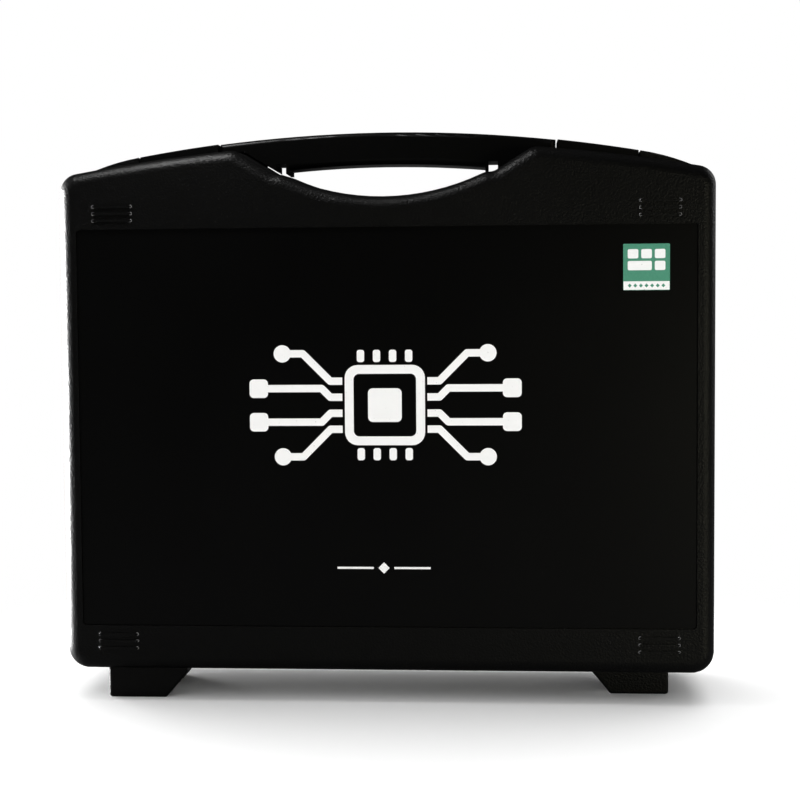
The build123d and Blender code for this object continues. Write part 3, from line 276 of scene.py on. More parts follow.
world = bpy.data.worlds.new("studio")
bpy.context.scene.world = world
world.use_nodes = True
air = world.node_tree
ray = node(air, "LightPath").outputs
strength = sums(air, "MULTIPLY_ADD", ray["Is Camera Ray"], WORLD_SEEN, WORLD_STRENGTH)
strength = sums(air, "MULTIPLY_ADD", ray["Is Glossy Ray"], WORLD_IN_GLOSS, strength)
plug(air, air.nodes["Background"].inputs["Color"], WHITE)
plug(air, air.nodes["Background"].inputs["Strength"], strength)
bpy.context.scene.view_settings.view_transform = "Standard"

# %% [markdown]
# ## Grain of a moulding
# The mould of the case was etched, so its plastic has a fine leathery grain: small rounded cells about a
# millimetre across with finer roughness over them. It catches the lamps as a speckle along the top band.
# Rounded cells come from smooth Voronoi cells, and the finer part from noise.

# %% Grain group
CELLS_PER_METRE = 900.0

grain, taken, given = new_group(
    "moulded_grain", {"Scale": CELLS_PER_METRE, "Patches": 0.3}, ("Height", "Mask"))
place = metres(grain)
cells = node(grain, "TexVoronoi", {"Vector": place, "Scale": taken["Scale"]}, feature="SMOOTH_F1")
fine = speckle(grain, place, times(grain, taken["Scale"], 2.7), 4.0, 0.7)
rounded = span(grain, cells.outputs["Distance"], 0.0, 0.75, 1.0, 0.0)
together = sums(grain, "ADD", times(grain, rounded, 0.7), times(grain, fine, 0.45))
broad = span(grain, speckle(grain, place, 14.0, 2.0), 0.35, 0.65)
faded = minus(grain, 1.0, times(grain, broad, taken["Patches"]))
plug(grain, given["Height"], times(grain, together, faded))
plug(grain, given["Mask"], span(grain, fine, 0.55, 0.8))
print("grain cell, mm:", round(1000 / CELLS_PER_METRE, 2))

# %% [markdown]
# ## Wear along edges
# Edges of a carried case rub against doors and benches and turn smoother and a little paler. A Bevel node
# looks at the shape just around a point: where its rounded normal leaves the real one, there is an edge.
# Noise breaks the line, because wear is never even.

# %% Wear group
EDGE_REACH = 0.0012

wear, taken, given = new_group(
    "edge_wear", {"Reach": EDGE_REACH, "Amount": 0.5, "Breakup": 160.0}, ("Mask",))
eased = node(wear, "Bevel", {"Radius": taken["Reach"]}, samples=4).outputs["Normal"]
plain = node(wear, "NewGeometry").outputs["Normal"]
same = node(wear, "VectorMath", {0: eased, 1: plain}, operation="DOT_PRODUCT").outputs["Value"]
edge = span(wear, same, 0.995, 0.86)
broken = span(wear, speckle(wear, metres(wear), taken["Breakup"], 4.0, 0.65), 0.38, 0.62)
plug(wear, given["Mask"], times(wear, edge, broken, taken["Amount"]))
print("edges are looked for within, mm:", round(1000 * EDGE_REACH, 1))

# %% [markdown]
# ## Dust and rub marks
# Used plastic carries a trace of pale dust and long faint scratches from sliding in and out of a shelf.
# The scratches are noise drawn out along one direction, kept only where a second noise allows them.

# %% Dust group
SPECKS_PER_METRE = 420.0
RUB_STRETCH = (26.0, 26.0, 1500.0)

dust, taken, given = new_group(
    "dust_and_rubs", {"Dust": 0.2, "Rubs": 0.3}, ("Dust Mask", "Rub Mask", "Cloud"))
place = metres(dust)
specks = node(dust, "TexVoronoi", {"Vector": place, "Scale": SPECKS_PER_METRE}, feature="F1")
points = span(dust, specks.outputs["Distance"], 0.10, 0.04)
cloud = speckle(dust, place, 9.0, 4.0)
plug(dust, given["Dust Mask"], times(dust, points, span(dust, cloud, 0.45, 0.7), taken["Dust"]))
drawn = node(dust, "Mapping", {"Vector": place, "Rotation": (0.3, 0.7, 0.5), "Scale": RUB_STRETCH})
line = span(dust, speckle(dust, drawn.outputs[0], 1.0, 2.0), 0.66, 0.72)
where = span(dust, speckle(dust, place, 22.0, 1.0), 0.52, 0.66)
plug(dust, given["Rub Mask"], times(dust, line, where, taken["Rubs"]))
plug(dust, given["Cloud"], cloud)
print("dust specks sit in cells of, mm:", round(1000 / SPECKS_PER_METRE, 1))

# %% [markdown]
# ## One recipe for solid finishes
# Plastic, metal and lacquer differ in colour, gloss and grain, but all of them are grained, worn at the
# edges, dusty and slightly uneven. The recipe below joins the three groups with the values of one finish.
# Numbers that are the same all over the surface stay on the shader's own sockets.

# %% Recipe
def finish_base(name, metallic=0.0, specular=0.5, coat=0.0, ior=1.5):
    """A material with its shader and nothing plugged in."""
    material = bpy.data.materials.new(name)
    material.use_nodes = True
    tree = material.node_tree
    shader = tree.nodes["Principled BSDF"]
    shader.inputs["Metallic"].default_value = metallic
    shader.inputs["Specular IOR Level"].default_value = specular
    shader.inputs["Coat Weight"].default_value = coat
    shader.inputs["Coat Roughness"].default_value = 0.12
    shader.inputs["IOR"].default_value = ior
    return material, tree, shader


DUST_COLOUR = (0.42, 0.41, 0.39)


def solid_finish(name, colour, pale, roughness, grained, depth, worn, dusty, reach, rubbed=0.3,
                 metallic=0.0, specular=0.5, coat=0.0, pattern=None):
    """A grained, worn and dusty finish. pattern may change the colour before wear and dust."""
    material, tree, shader = finish_base(name, metallic, specular, coat)
    skin = use(tree, grain, Scale=grained)
    rub = use(tree, dust, Dust=dusty, Rubs=rubbed)
    edge = use(tree, wear, Reach=reach, Amount=worn)
    shade = mixed(tree, times(tree, rub["Cloud"], 0.35), colour, pale)
    if pattern:
        shade = pattern(tree, shade, shader)
    shade = mixed(tree, edge["Mask"], shade, pale)
    shade = mixed(tree, rub["Rub Mask"], shade, pale)
    shade = mixed(tree, rub["Dust Mask"], shade, DUST_COLOUR)
    plug(tree, shader.inputs["Base Color"], shade)
    uneven = span(tree, skin["Mask"], 0.0, 1.0, roughness, min(1.0, roughness + 0.12))
    smoother = minus(tree, uneven, times(tree, edge["Mask"], 0.12))
    plug(tree, shader.inputs["Roughness"], sums(tree, "ADD", smoother, times(tree, rub["Rub Mask"], 0.1)))
    bump = node(tree, "Bump", {"Strength": 1.0, "Distance": depth, "Height": skin["Height"]})
    plug(tree, shader.inputs["Normal"], bump.outputs["Normal"])
    return material


def dress(material, *names):
    """Give engineering parts a finish."""
    for name in names:
        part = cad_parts[name]
        if not part.material_slots:
            part.data.materials.append(material)
        for place in part.material_slots:
            place.material = material
    print(material.name, "on", ", ".join(names))


def dressed(table):
    """Finishes from a table. A row gives the parts, colour, paler colour, roughness, grain cells to a metre
    and their depth, wear, dust, the reach of the wear, and any other settings."""
    made = {}
    for name, (parts, *values, settings) in table.items():
        made[name] = solid_finish(name, *values, **settings)
        dress(made[name], *parts)
    return made

# %% [markdown]
# ## The case, its handle and its latches
# All three are black polypropylene. The case has the etched grain, the handle and the latches come from a
# smoother mould. The colour isn't pure black: a trace of grey keeps the form readable in the shade. The
# reflection at the surface is kept low, as on a plastic that scatters what it reflects.

# %% Black plastics
BLACKS = {
    "case_plastic": (("front_shell", "rear_shell"), grey(0.0005), (0.0036, 0.0036, 0.0037), 0.40,
                     820.0, 0.00026, 0.5, 0.14, 0.0012, dict(rubbed=0.35, specular=0.31)),
    "handle_plastic": (("carry_handle",), grey(0.0003), (0.0030, 0.0030, 0.0031), 0.36,
                       1500.0, 0.00004, 0.25, 0.1, 0.0007, dict(specular=0.24)),
    "latch_plastic": (("latch_left", "latch_right"), grey(0.0004), (0.0034, 0.0034, 0.0035), 0.36,
                      1500.0, 0.00004, 0.4, 0.12, 0.0006, dict(rubbed=0.4, specular=0.28)),
}
dressed(BLACKS)

# %% [markdown]
# ## Bright metal
# Hinge pins and screws are zinc plated steel: grey, with a very fine grain. The same recipe with other
# colours gives the nickel of the toggle switches, the tin of the sensor cans and the brass of the
# spacers. The frame of the character display is sheet metal under black paint, so it is no bare metal.

# %% Metals
METAL = dict(metallic=1.0)
METALS = {
    "pin_steel": (("hinge_pin_left", "hinge_pin_right", "latch_pins", "handle_screws", "case_screws"),
                  (0.50, 0.51, 0.53), (0.72, 0.72, 0.73), 0.30, 2600.0, 0.000012, 0.4, 0.1, 0.0003, METAL),
    "toggle_metal": (("toggle_bodies", "toggle_lever_1", "toggle_lever_2", "potentiometer"),
                     (0.56, 0.55, 0.53), (0.78, 0.77, 0.74), 0.22,
                     3000.0, 0.000008, 0.3, 0.05, 0.0003, METAL),
    "tin_metal": (("ultrasonic_cans", "controller_can", "usb_socket"),
                  (0.62, 0.63, 0.64), grey(0.8), 0.28, 2400.0, 0.00001, 0.3, 0.06, 0.0003, METAL),
    "stud_brass": (("board_studs",),
                   (0.62, 0.43, 0.16), (0.82, 0.66, 0.34), 0.26, 3000.0, 0.00001, 0.4, 0.05, 0.0003, METAL),
    "motor_metal": (("fan_motor",),
                    (0.46, 0.46, 0.47), grey(0.66), 0.34, 2200.0, 0.00001, 0.4, 0.05, 0.0004, METAL),
    "frame_metal": (("display_frame",),
                    (0.012, 0.012, 0.013), (0.25, 0.25, 0.26), 0.36, 2000.0, 0.00001, 0.7, 0.1, 0.0003, {}),
}
tin = dressed(METALS)["tin_metal"]

# %% [markdown]
# ## The printed sheet on the lid
# The sunken panel of the lid carries a thin smooth sheet, printed black all over. It is smoother than the
# moulding round it, with fine rub marks, and its faint unevenness from the glue below is drawn as a painted
# sheen: slightly paler clouds.

# %% Sheet
def glue_waves(tree, shade, shader):
    """Slightly paler clouds, a painted sheen where the sheet isn't quite flat."""
    waves = span(tree, speckle(tree, metres(tree), 5.0, 2.0), 0.4, 0.7)
    return mixed(tree, times(tree, waves, 0.5), shade, (0.0015, 0.0015, 0.0014))


PRINTED_SHEET = dict(rubbed=0.2, specular=0.28, pattern=glue_waves)
dressed({"panel_print": (("front_label",), grey(0.0003), grey(0.0010), 0.34,
                         1900.0, 0.00002, 0.12, 0.05, 0.0004, PRINTED_SHEET)})

# %% [markdown]
# ## Moulded and dyed plastics of the modules
# Electronic parts are moulded in a few strong colours. Each has its own gloss: nylon is dull, a button
# cap is bright. A list keeps them together: part names, colour, paler colour, roughness, gloss coat.

# %% Coloured plastics
PLASTICS = {
    "part_black": (("buzzer", "header_sockets", "button_bases", "power_switch", "power_socket"),
                   (0.012, 0.012, 0.013), grey(0.05), 0.42, 0.0),
    "supply_case": (("power_supply",), (0.016, 0.016, 0.017), grey(0.05), 0.5, 0.0),
    "relay_blue": (("relays",), (0.012, 0.075, 0.42), (0.06, 0.18, 0.6), 0.36, 0.1),
    "terminal_green": (("relay_terminals",), (0.015, 0.25, 0.07), (0.1, 0.42, 0.18), 0.42, 0.0),
    "sensor_blue": (("humidity_sensor",), (0.09, 0.33, 0.62), (0.3, 0.55, 0.8), 0.45, 0.0),
    "rocker_red": (("power_rocker",), (0.52, 0.012, 0.01), (0.7, 0.12, 0.1), 0.22, 0.5),
    "servo_blue": (("servo",), (0.012, 0.07, 0.36), (0.08, 0.2, 0.55), 0.26, 0.3),
    "horn_white": (("servo_horn",), (0.78, 0.78, 0.75), (0.88, 0.88, 0.86), 0.45, 0.0),
    "fan_white": (("fan_blades",), (0.74, 0.75, 0.76), (0.88, 0.88, 0.87), 0.3, 0.2),
    "key_black": (("reset_key", "boot_key"), (0.02, 0.02, 0.021), grey(0.1), 0.4, 0.0),
    "cap_red": (("button_cap_1",), (0.55, 0.015, 0.012), (0.75, 0.15, 0.12), 0.28, 0.4),
    "cap_yellow": (("button_cap_2",), (0.72, 0.42, 0.01), (0.85, 0.62, 0.15), 0.28, 0.4),
    "cap_green": (("button_cap_3",), (0.02, 0.32, 0.05), (0.15, 0.5, 0.2), 0.28, 0.4),
    "cap_blue": (("button_cap_4",), (0.012, 0.09, 0.42), (0.1, 0.25, 0.6), 0.28, 0.4),
    "knob_black": (("control_knob",), (0.011, 0.011, 0.012), grey(0.06), 0.36, 0.0),
}
plastics = {}
for name, (parts, colour, pale, roughness, coat) in PLASTICS.items():
    plastics[name] = solid_finish(name, colour, pale, roughness, grained=1900.0, depth=0.000015, worn=0.45,
                                  dusty=0.12, coat=coat, reach=0.0004)
    dress(plastics[name], *parts)

# %% [markdown]
# ## Circuit boards
# A circuit board is glass laminate with copper tracks under a coloured lacquer, the solder mask. Where a
# track runs, the lacquer looks paler and stands a little proud, and ringed holes show bare tin. The
# pattern group divides the board into squares of 2.54 mm, the pitch of electronic parts, and draws in
# each square a track across, a track up, or a ringed hole, as a random number decides.

# %% Track group
PITCH = 0.00254
TRACK_HALF = 0.11
ACROSS_TO = 0.52
UPWARD_FROM = 0.40
HOLE_FROM = 0.74
HOLE_INNER = 0.12
HOLE_OUTER = 0.27

tracks, taken, given = new_group("board_tracks", {"Width": TRACK_HALF}, ("Track", "Ring"))
spot = node(tracks, "VectorMath", {0: metres(tracks), 1: (1 / PITCH, 0.0, 1 / PITCH)}, operation="MULTIPLY")
square = node(tracks, "VectorMath", {0: spot.outputs[0]}, operation="FLOOR").outputs[0]
rest = node(tracks, "VectorMath", {0: spot.outputs[0], 1: square}, operation="SUBTRACT").outputs[0]
inside = node(tracks, "SeparateXYZ", {0: rest}).outputs
lot = node(tracks, "TexWhiteNoise", {"Vector": square}, noise_dimensions="3D").outputs["Value"]
off_x, off_z = (sums(tracks, "ABSOLUTE", minus(tracks, inside[axis], 0.5)) for axis in "XZ")
across = times(tracks, below(tracks, off_z, taken["Width"]), below(tracks, lot, ACROSS_TO))
upward = times(tracks, below(tracks, off_x, taken["Width"]), above(tracks, lot, UPWARD_FROM))
squares = (sums(tracks, "POWER", off, 2.0) for off in (off_x, off_z))
away = sums(tracks, "SQRT", sums(tracks, "ADD", *squares))
band = times(tracks, below(tracks, away, HOLE_OUTER), above(tracks, away, HOLE_INNER))
plug(tracks, given["Track"], sums(tracks, "MAXIMUM", across, upward))
plug(tracks, given["Ring"], times(tracks, band, above(tracks, lot, HOLE_FROM)))


def board_finish(name, mask_colour, track_colour):
    """Lacquered circuit board with tracks and ringed holes."""
    material, tree, shader = finish_base(name, coat=0.55)
    lines = use(tree, tracks)
    rub = use(tree, dust, Dust=0.15, Rubs=0.1)
    edge = use(tree, wear, Reach=0.0003, Amount=0.5)
    shade = mixed(tree, lines["Track"], mask_colour, track_colour)
    shade = mixed(tree, lines["Ring"], shade, (0.70, 0.69, 0.64))
    shade = mixed(tree, edge["Mask"], shade, (0.45, 0.42, 0.27))
    shade = mixed(tree, rub["Dust Mask"], shade, (0.4, 0.4, 0.38))
    plug(tree, shader.inputs["Base Color"], shade)
    plug(tree, shader.inputs["Metallic"], times(tree, lines["Ring"], 0.9))
    plug(tree, shader.inputs["Roughness"], span(tree, rub["Cloud"], 0.3, 0.7, 0.30, 0.42))
    proud = sums(tree, "ADD", lines["Track"], lines["Ring"])
    bump = node(tree, "Bump", {"Strength": 0.6, "Distance": 0.00004, "Height": proud})
    plug(tree, shader.inputs["Normal"], bump.outputs["Normal"])
    return material


BOARDS = {
    "board_green": (("display_board", "led_board", "gas_board"), (0.006, 0.085, 0.03), (0.02, 0.16, 0.06)),
    "board_blue": (("ultrasonic_board", "humidity_board", "light_board", "relay_board", "motion_board"),
                   (0.006, 0.035, 0.16), (0.02, 0.08, 0.28)),
    "board_black": (("controller_board",), (0.006, 0.006, 0.007), (0.022, 0.022, 0.025)),
}
for name, (parts, mask_colour, track_colour) in BOARDS.items():
    dress(board_finish(name, mask_colour, track_colour), *parts)

# %% [markdown]
# ## The deck panel
# The deck is a single sheet of printed laminate that carries every module. It is dark blue with a matt
# lacquer. Its white outlines come later, as thin print that lies on it.

# %% Deck
def woven_glass(tree, shade, shader):
    """Faint weave of the glass cloth inside the laminate."""
    waves = {"Vector": metres(tree), "Scale": THREADS_PER_METRE}
    threads, cross = (node(tree, "TexWave", waves, bands_direction=axis).outputs[1] for axis in "XZ")
    return mixed(tree, times(tree, threads, cross, 0.5), shade, THREAD_BLUE)


THREADS_PER_METRE = 190.0
THREAD_BLUE = (0.014, 0.05, 0.12)
LAMINATE = dict(rubbed=0.4, coat=0.15, pattern=woven_glass)
dressed({"deck_laminate": (("deck_panel",), (0.007, 0.028, 0.075), THREAD_BLUE, 0.40,
                           2200.0, 0.00001, 0.4, 0.25, 0.0005, LAMINATE)})

# %% [markdown]
# ## Sensors, lamps and displays
# These parts have a pattern of their own. The light cell is a ceramic disc with a red track that snakes
# across it. The lamps are dyed resin, one colour each. The character display shows the faint squares of
# its two rows while it is off. The mesh of the gas sensor is a woven wire cloth.

# %% Patterned parts
DISPLAY_MIDDLE = (-0.134, 0.266)
CHARACTER_PITCH = 0.00375
ROW_PITCH = 0.0062
LAMP_FIRST = -0.063
LAMP_PITCH = 0.010
CELL_X = 0.139
SNAKE_SWING = 0.0011
SNAKE_TURNS = 4200.0
TRACK_WIDTH_HALF = 0.0004
TRIMMER_FROM = 0.005
WIRE_PITCH = 0.0007
WIRE_SHARE = 0.45


def split(tree):
    """The three coordinates of a point, in metres."""
    return node(tree, "SeparateXYZ", {0: metres(tree)}).outputs


def repeats(tree, value, start, pitch):
    """How far a point is across its own repeat of a pattern, from 0 to 1."""
    shifted = sums(tree, "DIVIDE", minus(tree, value, start), pitch)
    return sums(tree, "FRACT", shifted)


def within(tree, value, low, high):
    """1 between two limits and 0 outside them."""
    return times(tree, above(tree, value, low), below(tree, value, high))


def character_cells(tree, shade, shader):
    """Sixteen by two faint cells, each of five by eight dots."""
    x, z = (split(tree)[axis] for axis in "XZ")
    left = DISPLAY_MIDDLE[0] - 8 * CHARACTER_PITCH
    low = DISPLAY_MIDDLE[1] - ROW_PITCH
    column = below(tree, repeats(tree, x, left, CHARACTER_PITCH), 0.83)
    row = below(tree, repeats(tree, z, low, ROW_PITCH), 0.89)
    dot_x = below(tree, repeats(tree, x, left, CHARACTER_PITCH / 6), 0.86)
    dot_z = below(tree, repeats(tree, z, low, ROW_PITCH / 9), 0.86)
    wide = within(tree, x, left, left + 16 * CHARACTER_PITCH)
    high = within(tree, z, low, low + 2 * ROW_PITCH)
    return mixed(tree, times(tree, column, row, dot_x, dot_z, wide, high, 0.5), shade, (0.05, 0.10, 0.02))


def lamp_colours(tree, shade, shader):
    """Red, yellow, green and blue lamps in turn."""
    x = split(tree)["X"]
    step = sums(tree, "ROUND", sums(tree, "DIVIDE", minus(tree, x, LAMP_FIRST), LAMP_PITCH))
    turn = sums(tree, "MODULO", step, 4.0)
    colours = ((0.55, 0.012, 0.01), (0.7, 0.4, 0.01), (0.02, 0.4, 0.04), (0.012, 0.1, 0.55))
    result = colours[0]
    for number, colour in enumerate(colours[1:], start=1):
        result = mixed(tree, sums(tree, "COMPARE", turn, float(number), 0.1), result, colour)
    return result


def snaking_track(tree, shade, shader):
    """Red track to and fro over the cell, and blue for the trimmer beside it."""
    x, z = (split(tree)[axis] for axis in "XZ")
    wave = times(tree, sums(tree, "SINE", times(tree, z, SNAKE_TURNS)), SNAKE_SWING)
    near = sums(tree, "ABSOLUTE", minus(tree, minus(tree, x, CELL_X), wave))
    cell = mixed(tree, below(tree, near, TRACK_WIDTH_HALF), (0.62, 0.44, 0.24), (0.45, 0.06, 0.02))
    return mixed(tree, above(tree, x, CELL_X + TRIMMER_FROM), cell, (0.02, 0.10, 0.42))


def wire_cloth(tree, shade, shader):
    """Dark squares between the wires of a woven mesh: painted shade of the inside of the sensor, seen
    through the gaps.
    """
    x, z = (split(tree)[axis] for axis in "XZ")
    gap_x, gap_z = (above(tree, repeats(tree, value, 0.0, WIRE_PITCH), WIRE_SHARE) for value in (x, z))
    return mixed(tree, times(tree, gap_x, gap_z), shade, grey(0.03))


PATTERNED = {
    "display_glass": (("display_glass",), (0.16, 0.27, 0.045), (0.2, 0.33, 0.07), 0.10,
                      2500.0, 0.000002, 0.1, 0.2, 0.0003, dict(coat=0.8, pattern=character_cells)),
    "lamp_plastic": (("indicator_leds",), (0.5, 0.02, 0.02), (0.6, 0.2, 0.2), 0.14,
                     2500.0, 0.000004, 0.1, 0.1, 0.0003, dict(coat=0.6, pattern=lamp_colours)),
    "light_cell": (("light_sensor",), (0.6, 0.42, 0.2), (0.7, 0.55, 0.3), 0.24,
                   2500.0, 0.000004, 0.1, 0.1, 0.0003, dict(coat=0.6, pattern=snaking_track)),
    "sensor_metal": (("gas_sensor",), (0.52, 0.52, 0.53), grey(0.7), 0.32,
                     2500.0, 0.00001, 0.3, 0.1, 0.0004, dict(metallic=0.85, pattern=wire_cloth)),
    "segment_black": (("segment_display",), (0.01, 0.01, 0.011), grey(0.04), 0.30,
                      2200.0, 0.00001, 0.4, 0.2, 0.0004, dict(coat=0.2)),
}
dressed(PATTERNED)

# %% [markdown]
# ## Small shapes in millimetres
# The details are many small blocks, posts and plates. They are drawn in millimetres on one of two faces:
# the front of the lid, or the deck inside the case. A place on a face is a distance across, a height
# above the floor, and a rise off the face towards the viewer. One mesh takes all the details of a kind,
# and becomes a piece that rides with its part of the case.

# %% Shape helpers
MM = 0.001
DECK_FACE = 8.0


def on_deck(x, z, rise):
    """A point above the deck, in metres."""
    return Vector((x, DECK_FACE - rise, z)) * MM


def prism(form, outline, low, high, bevel=0.0):
    """Solid with this outline, raised from the deck face between two rises."""
    top = [form.verts.new(on_deck(x, z, high)) for x, z in outline]
    bottom = [form.verts.new(on_deck(x, z, low)) for x, z in outline]
    count = len(outline)
    faces = [form.faces.new(top), form.faces.new(bottom[::-1])]
    for i in range(count):
        j = (i + 1) % count
        faces.append(form.faces.new((top[i], bottom[i], bottom[j], top[j])))
    if bevel:
        edges = list(faces[0].edges)
        bmesh.ops.bevel(form, geom=edges, offset=bevel * MM, segments=2, profile=0.6, affect="EDGES")


def rectangle(x, z, width, height, turned=0.0):
    """Corners of a rectangle, turned by some degrees."""
    c = math.cos(math.radians(turned))
    s = math.sin(math.radians(turned))
    corners = ((-1, -1), (1, -1), (1, 1), (-1, 1))
    return [(x + c * i * width / 2 - s * j * height / 2, z + s * i * width / 2 + c * j * height / 2)
            for i, j in corners]


def rounded_rectangle(x, z, width, height, radius, steps=6):
    """Corners of a rectangle with rounded corners."""
    points = []
    for quarter, (i, j) in enumerate(((1, 1), (-1, 1), (-1, -1), (1, -1))):
        for step in range(steps + 1):
            angle = math.radians(90 * quarter + 90 * step / steps)
            points.append((x + i * (width / 2 - radius) + radius * math.cos(angle),
                           z + j * (height / 2 - radius) + radius * math.sin(angle)))
    return points


def circle(x, z, radius, steps=28):
    """Points round a circle."""
    return [(x + radius * math.cos(2 * math.pi * i / steps), z + radius * math.sin(2 * math.pi * i / steps))
            for i in range(steps)]


def ring(form, outer, inner, low, high):
    """Band between two outlines with the same number of points."""
    rows = [[form.verts.new(on_deck(x, z, rise)) for x, z in outline]
            for outline, rise in ((outer, low), (outer, high), (inner, high), (inner, low))]
    count = len(outer)
    for first, second in ((0, 1), (1, 2), (2, 3), (3, 0)):
        for i in range(count):
            j = (i + 1) % count
            form.faces.new((rows[first][i], rows[first][j], rows[second][j], rows[second][i]))


def bar(form, start, end, width, low, high):
    """Straight bar between two points of a face."""
    (x0, z0), (x1, z1) = start, end
    length = math.hypot(x1 - x0, z1 - z0)
    turned = math.degrees(math.atan2(z1 - z0, x1 - x0))
    prism(form, rectangle((x0 + x1) / 2, (z0 + z1) / 2, length, width, turned), low, high)


def finished(name, form, material, body, smooth=False):
    """Turn a mesh into a piece that rides with a body."""
    bmesh.ops.recalc_face_normals(form, faces=form.faces)
    mesh = bpy.data.meshes.new(name)
    form.to_mesh(mesh)
    form.free()
    mesh.materials.append(material)
    if smooth:
        mesh.shade_smooth()
    piece = bpy.data.objects.new(name, mesh)
    bpy.context.scene.collection.objects.link(piece)
    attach(piece, body)
    print(name, "faces:", len(mesh.polygons))
    return piece

# %% [markdown]
# ## The print on the lid
# White screen print is a layer of ink a few hundredths of a millimetre thick. It is drawn here as a thin
# plate on the sheet, so its edge stays crisp at any distance. The motif is a general one for connected
# electronics: a chip in the middle whose tracks lead to round nodes on both sides. Below it a thin rule
# with a small diamond sets off the lower part of the lid. Every shape lies a hair higher than the one
# before, so no two surfaces fall exactly together.

# %% White ink
def worn_ink(tree, shade, shader):
    """Pinholes where the ink let go of the sheet."""
    holes = span(tree, speckle(tree, metres(tree), 900.0, 3.0), 0.70, 0.74)
    return mixed(tree, holes, shade, grey(0.25))


white_ink = solid_finish("white_ink", (0.87, 0.87, 0.865), (0.91, 0.91, 0.905), 0.42, grained=1800.0,
                         depth=0.00001, worn=0.15, dusty=0.1, reach=0.0003, rubbed=0.1, pattern=worn_ink)
SHEET_RISE = DECK_FACE + 46.85
INK = 0.05
INK_STEP = 0.0006
PRINT_X = 0.5
PRINT_Z = 187.0
CHIP_OUTSIDE, CHIP_INSIDE, CHIP_CORE = (50, 8), (39, 3.5), (21, 3)
LEG_OFFSETS = (-15.0, -5.0, 5.0, 15.0)
LEG_AWAY = 30.6
LINE_FROM, LINE_KNEE, LINE_WIDTH = 26.5, 34.0, 4.6
LINE_ENDS = ((-15.0, 64.0, -32.2), (-5.0, 79.0, -10.5), (5.0, 79.0, 10.5), (15.0, 64.0, 32.2))
RULE_X, RULE_Z = -0.8, 85.0
ink_layers = itertools.count(1)


def ink_rises():
    """Low and high rise of the next inked shape."""
    return SHEET_RISE - INK, SHEET_RISE + INK + INK_STEP * next(ink_layers)


def chip_square(size, radius):
    """One of the squares of the chip in the middle."""
    return rounded_rectangle(PRINT_X, PRINT_Z, size, size, radius)


form = bmesh.new()
ring(form, chip_square(*CHIP_OUTSIDE), chip_square(*CHIP_INSIDE), *ink_rises())
prism(form, chip_square(*CHIP_CORE), *ink_rises())
for offset in LEG_OFFSETS:
    for side in (-1, 1):
        leg = rounded_rectangle(PRINT_X + offset, PRINT_Z + side * LEG_AWAY, 4.6, 7.6, 1.5)
        prism(form, leg, *ink_rises())
for side in (-1, 1):
    for offset, reach, rise in LINE_ENDS:
        start = (PRINT_X + side * LINE_FROM, PRINT_Z + offset)
        knee = (PRINT_X + side * LINE_KNEE, PRINT_Z + offset)
        elbow = (knee[0] + side * abs(rise - offset), PRINT_Z + rise)
        end = (PRINT_X + side * reach, PRINT_Z + rise)
        for first, last in ((start, knee), (knee, elbow), (elbow, end)):
            bar(form, first, last, LINE_WIDTH, *ink_rises())
        for joint in (knee, elbow):
            prism(form, circle(*joint, LINE_WIDTH / 2), *ink_rises())
        node_shape = circle(*end, 5.4) if abs(rise) > 20 else rounded_rectangle(*end, 11.6, 11.6, 2.6)
        prism(form, node_shape, *ink_rises())
finished("lid_motif", form, white_ink, "lid")

form = bmesh.new()
for side in (-1, 1):
    bar(form, (RULE_X + side * 6.5, RULE_Z), (RULE_X + side * 29.2, RULE_Z), 1.3, *ink_rises())
prism(form, rectangle(RULE_X, RULE_Z, 5.0, 5.0, 45), *ink_rises())
finished("lid_rule", form, white_ink, "lid")

# %% [markdown]
# ## Pips at the rib ends
# Each short rib of the bands ends in a round pip, as high as the rib. The pips are painted pale grey and
# glossy, a painted highlight: they show as rows of bright points while the ribs stay dark. A pip is a low
# dome: a circle with smaller circles above it.

# %% Rib pips
RIB_ENDS = (157.9, 181.7)
RIB_ROWS = (33.4, 37.8, 42.2, 302.9, 307.3, 311.7)
PIP_RADIUS = 1.15
PIP_FACE = 47.7
PIP_TOP = 48.78
PIP_STEPS, PIP_SIDES, PIP_ARC = 5, 16, 90 / 4.6


def pip(form, x, z, side):
    """Low dome on the front for -1, or on the back for 1."""
    rows = []
    for step in range(PIP_STEPS):
        angle = math.radians(PIP_ARC * step)
        depth = (PIP_FACE + (PIP_TOP - PIP_FACE) * math.sin(angle)) * side
        reach = PIP_RADIUS * math.cos(angle)
        outline = circle(x, z, reach, PIP_SIDES)
        rows.append([form.verts.new(Vector((px, depth, pz)) * MM) for px, pz in outline])
    for low, high in zip(rows, rows[1:]):
        for i in range(PIP_SIDES):
            j = (i + 1) % PIP_SIDES
            form.faces.new((low[i], low[j], high[j], high[i]))
    form.faces.new(rows[-1])
    form.faces.new(rows[0][::-1])


# The pale grey of the pips is a painted highlight on their tips.
pip_highlight_paint = solid_finish("rib_tip_painted_highlight", (0.090, 0.090, 0.091), (0.24, 0.24, 0.242), 0.22, grained=2600.0,
                       depth=0.000004, worn=0.8, dusty=0.05, reach=0.0004, specular=0.8, coat=0.8)
for side, body in ((-1, "lid"), (1, "base")):
    form = bmesh.new()
    for x in RIB_ENDS:
        for z in RIB_ROWS:
            pip(form, x, z, side)
            pip(form, -x, z, side)
    finished(f"{body}_rib_pips", form, pip_highlight_paint, body, smooth=True)

# %% [markdown]
# ## The sticker
# A small square of glossy paper sits in the upper right corner of the lid. Its field is green, with a
# white strip below and a plain pattern of white tiles, all printed on the one sheet.

# %% Sticker
STICKER_MIDDLE = (161.5, 271.1)
STICKER_RISE = DECK_FACE + 47.05
STICKER_INK = 0.03
STRIP_BELOW = 11.35
TILES = tuple((across, 2.6 + up * 0.88, wide, 6.4 * 0.88) for across, up, wide in (
    (-8.2, 6.2, 6.4), (0.0, 6.2, 6.4), (8.2, 6.2, 6.4), (-4.1, -2.0, 14.6), (8.2, -2.0, 6.4)))
DIAMOND_PITCH = 3.4


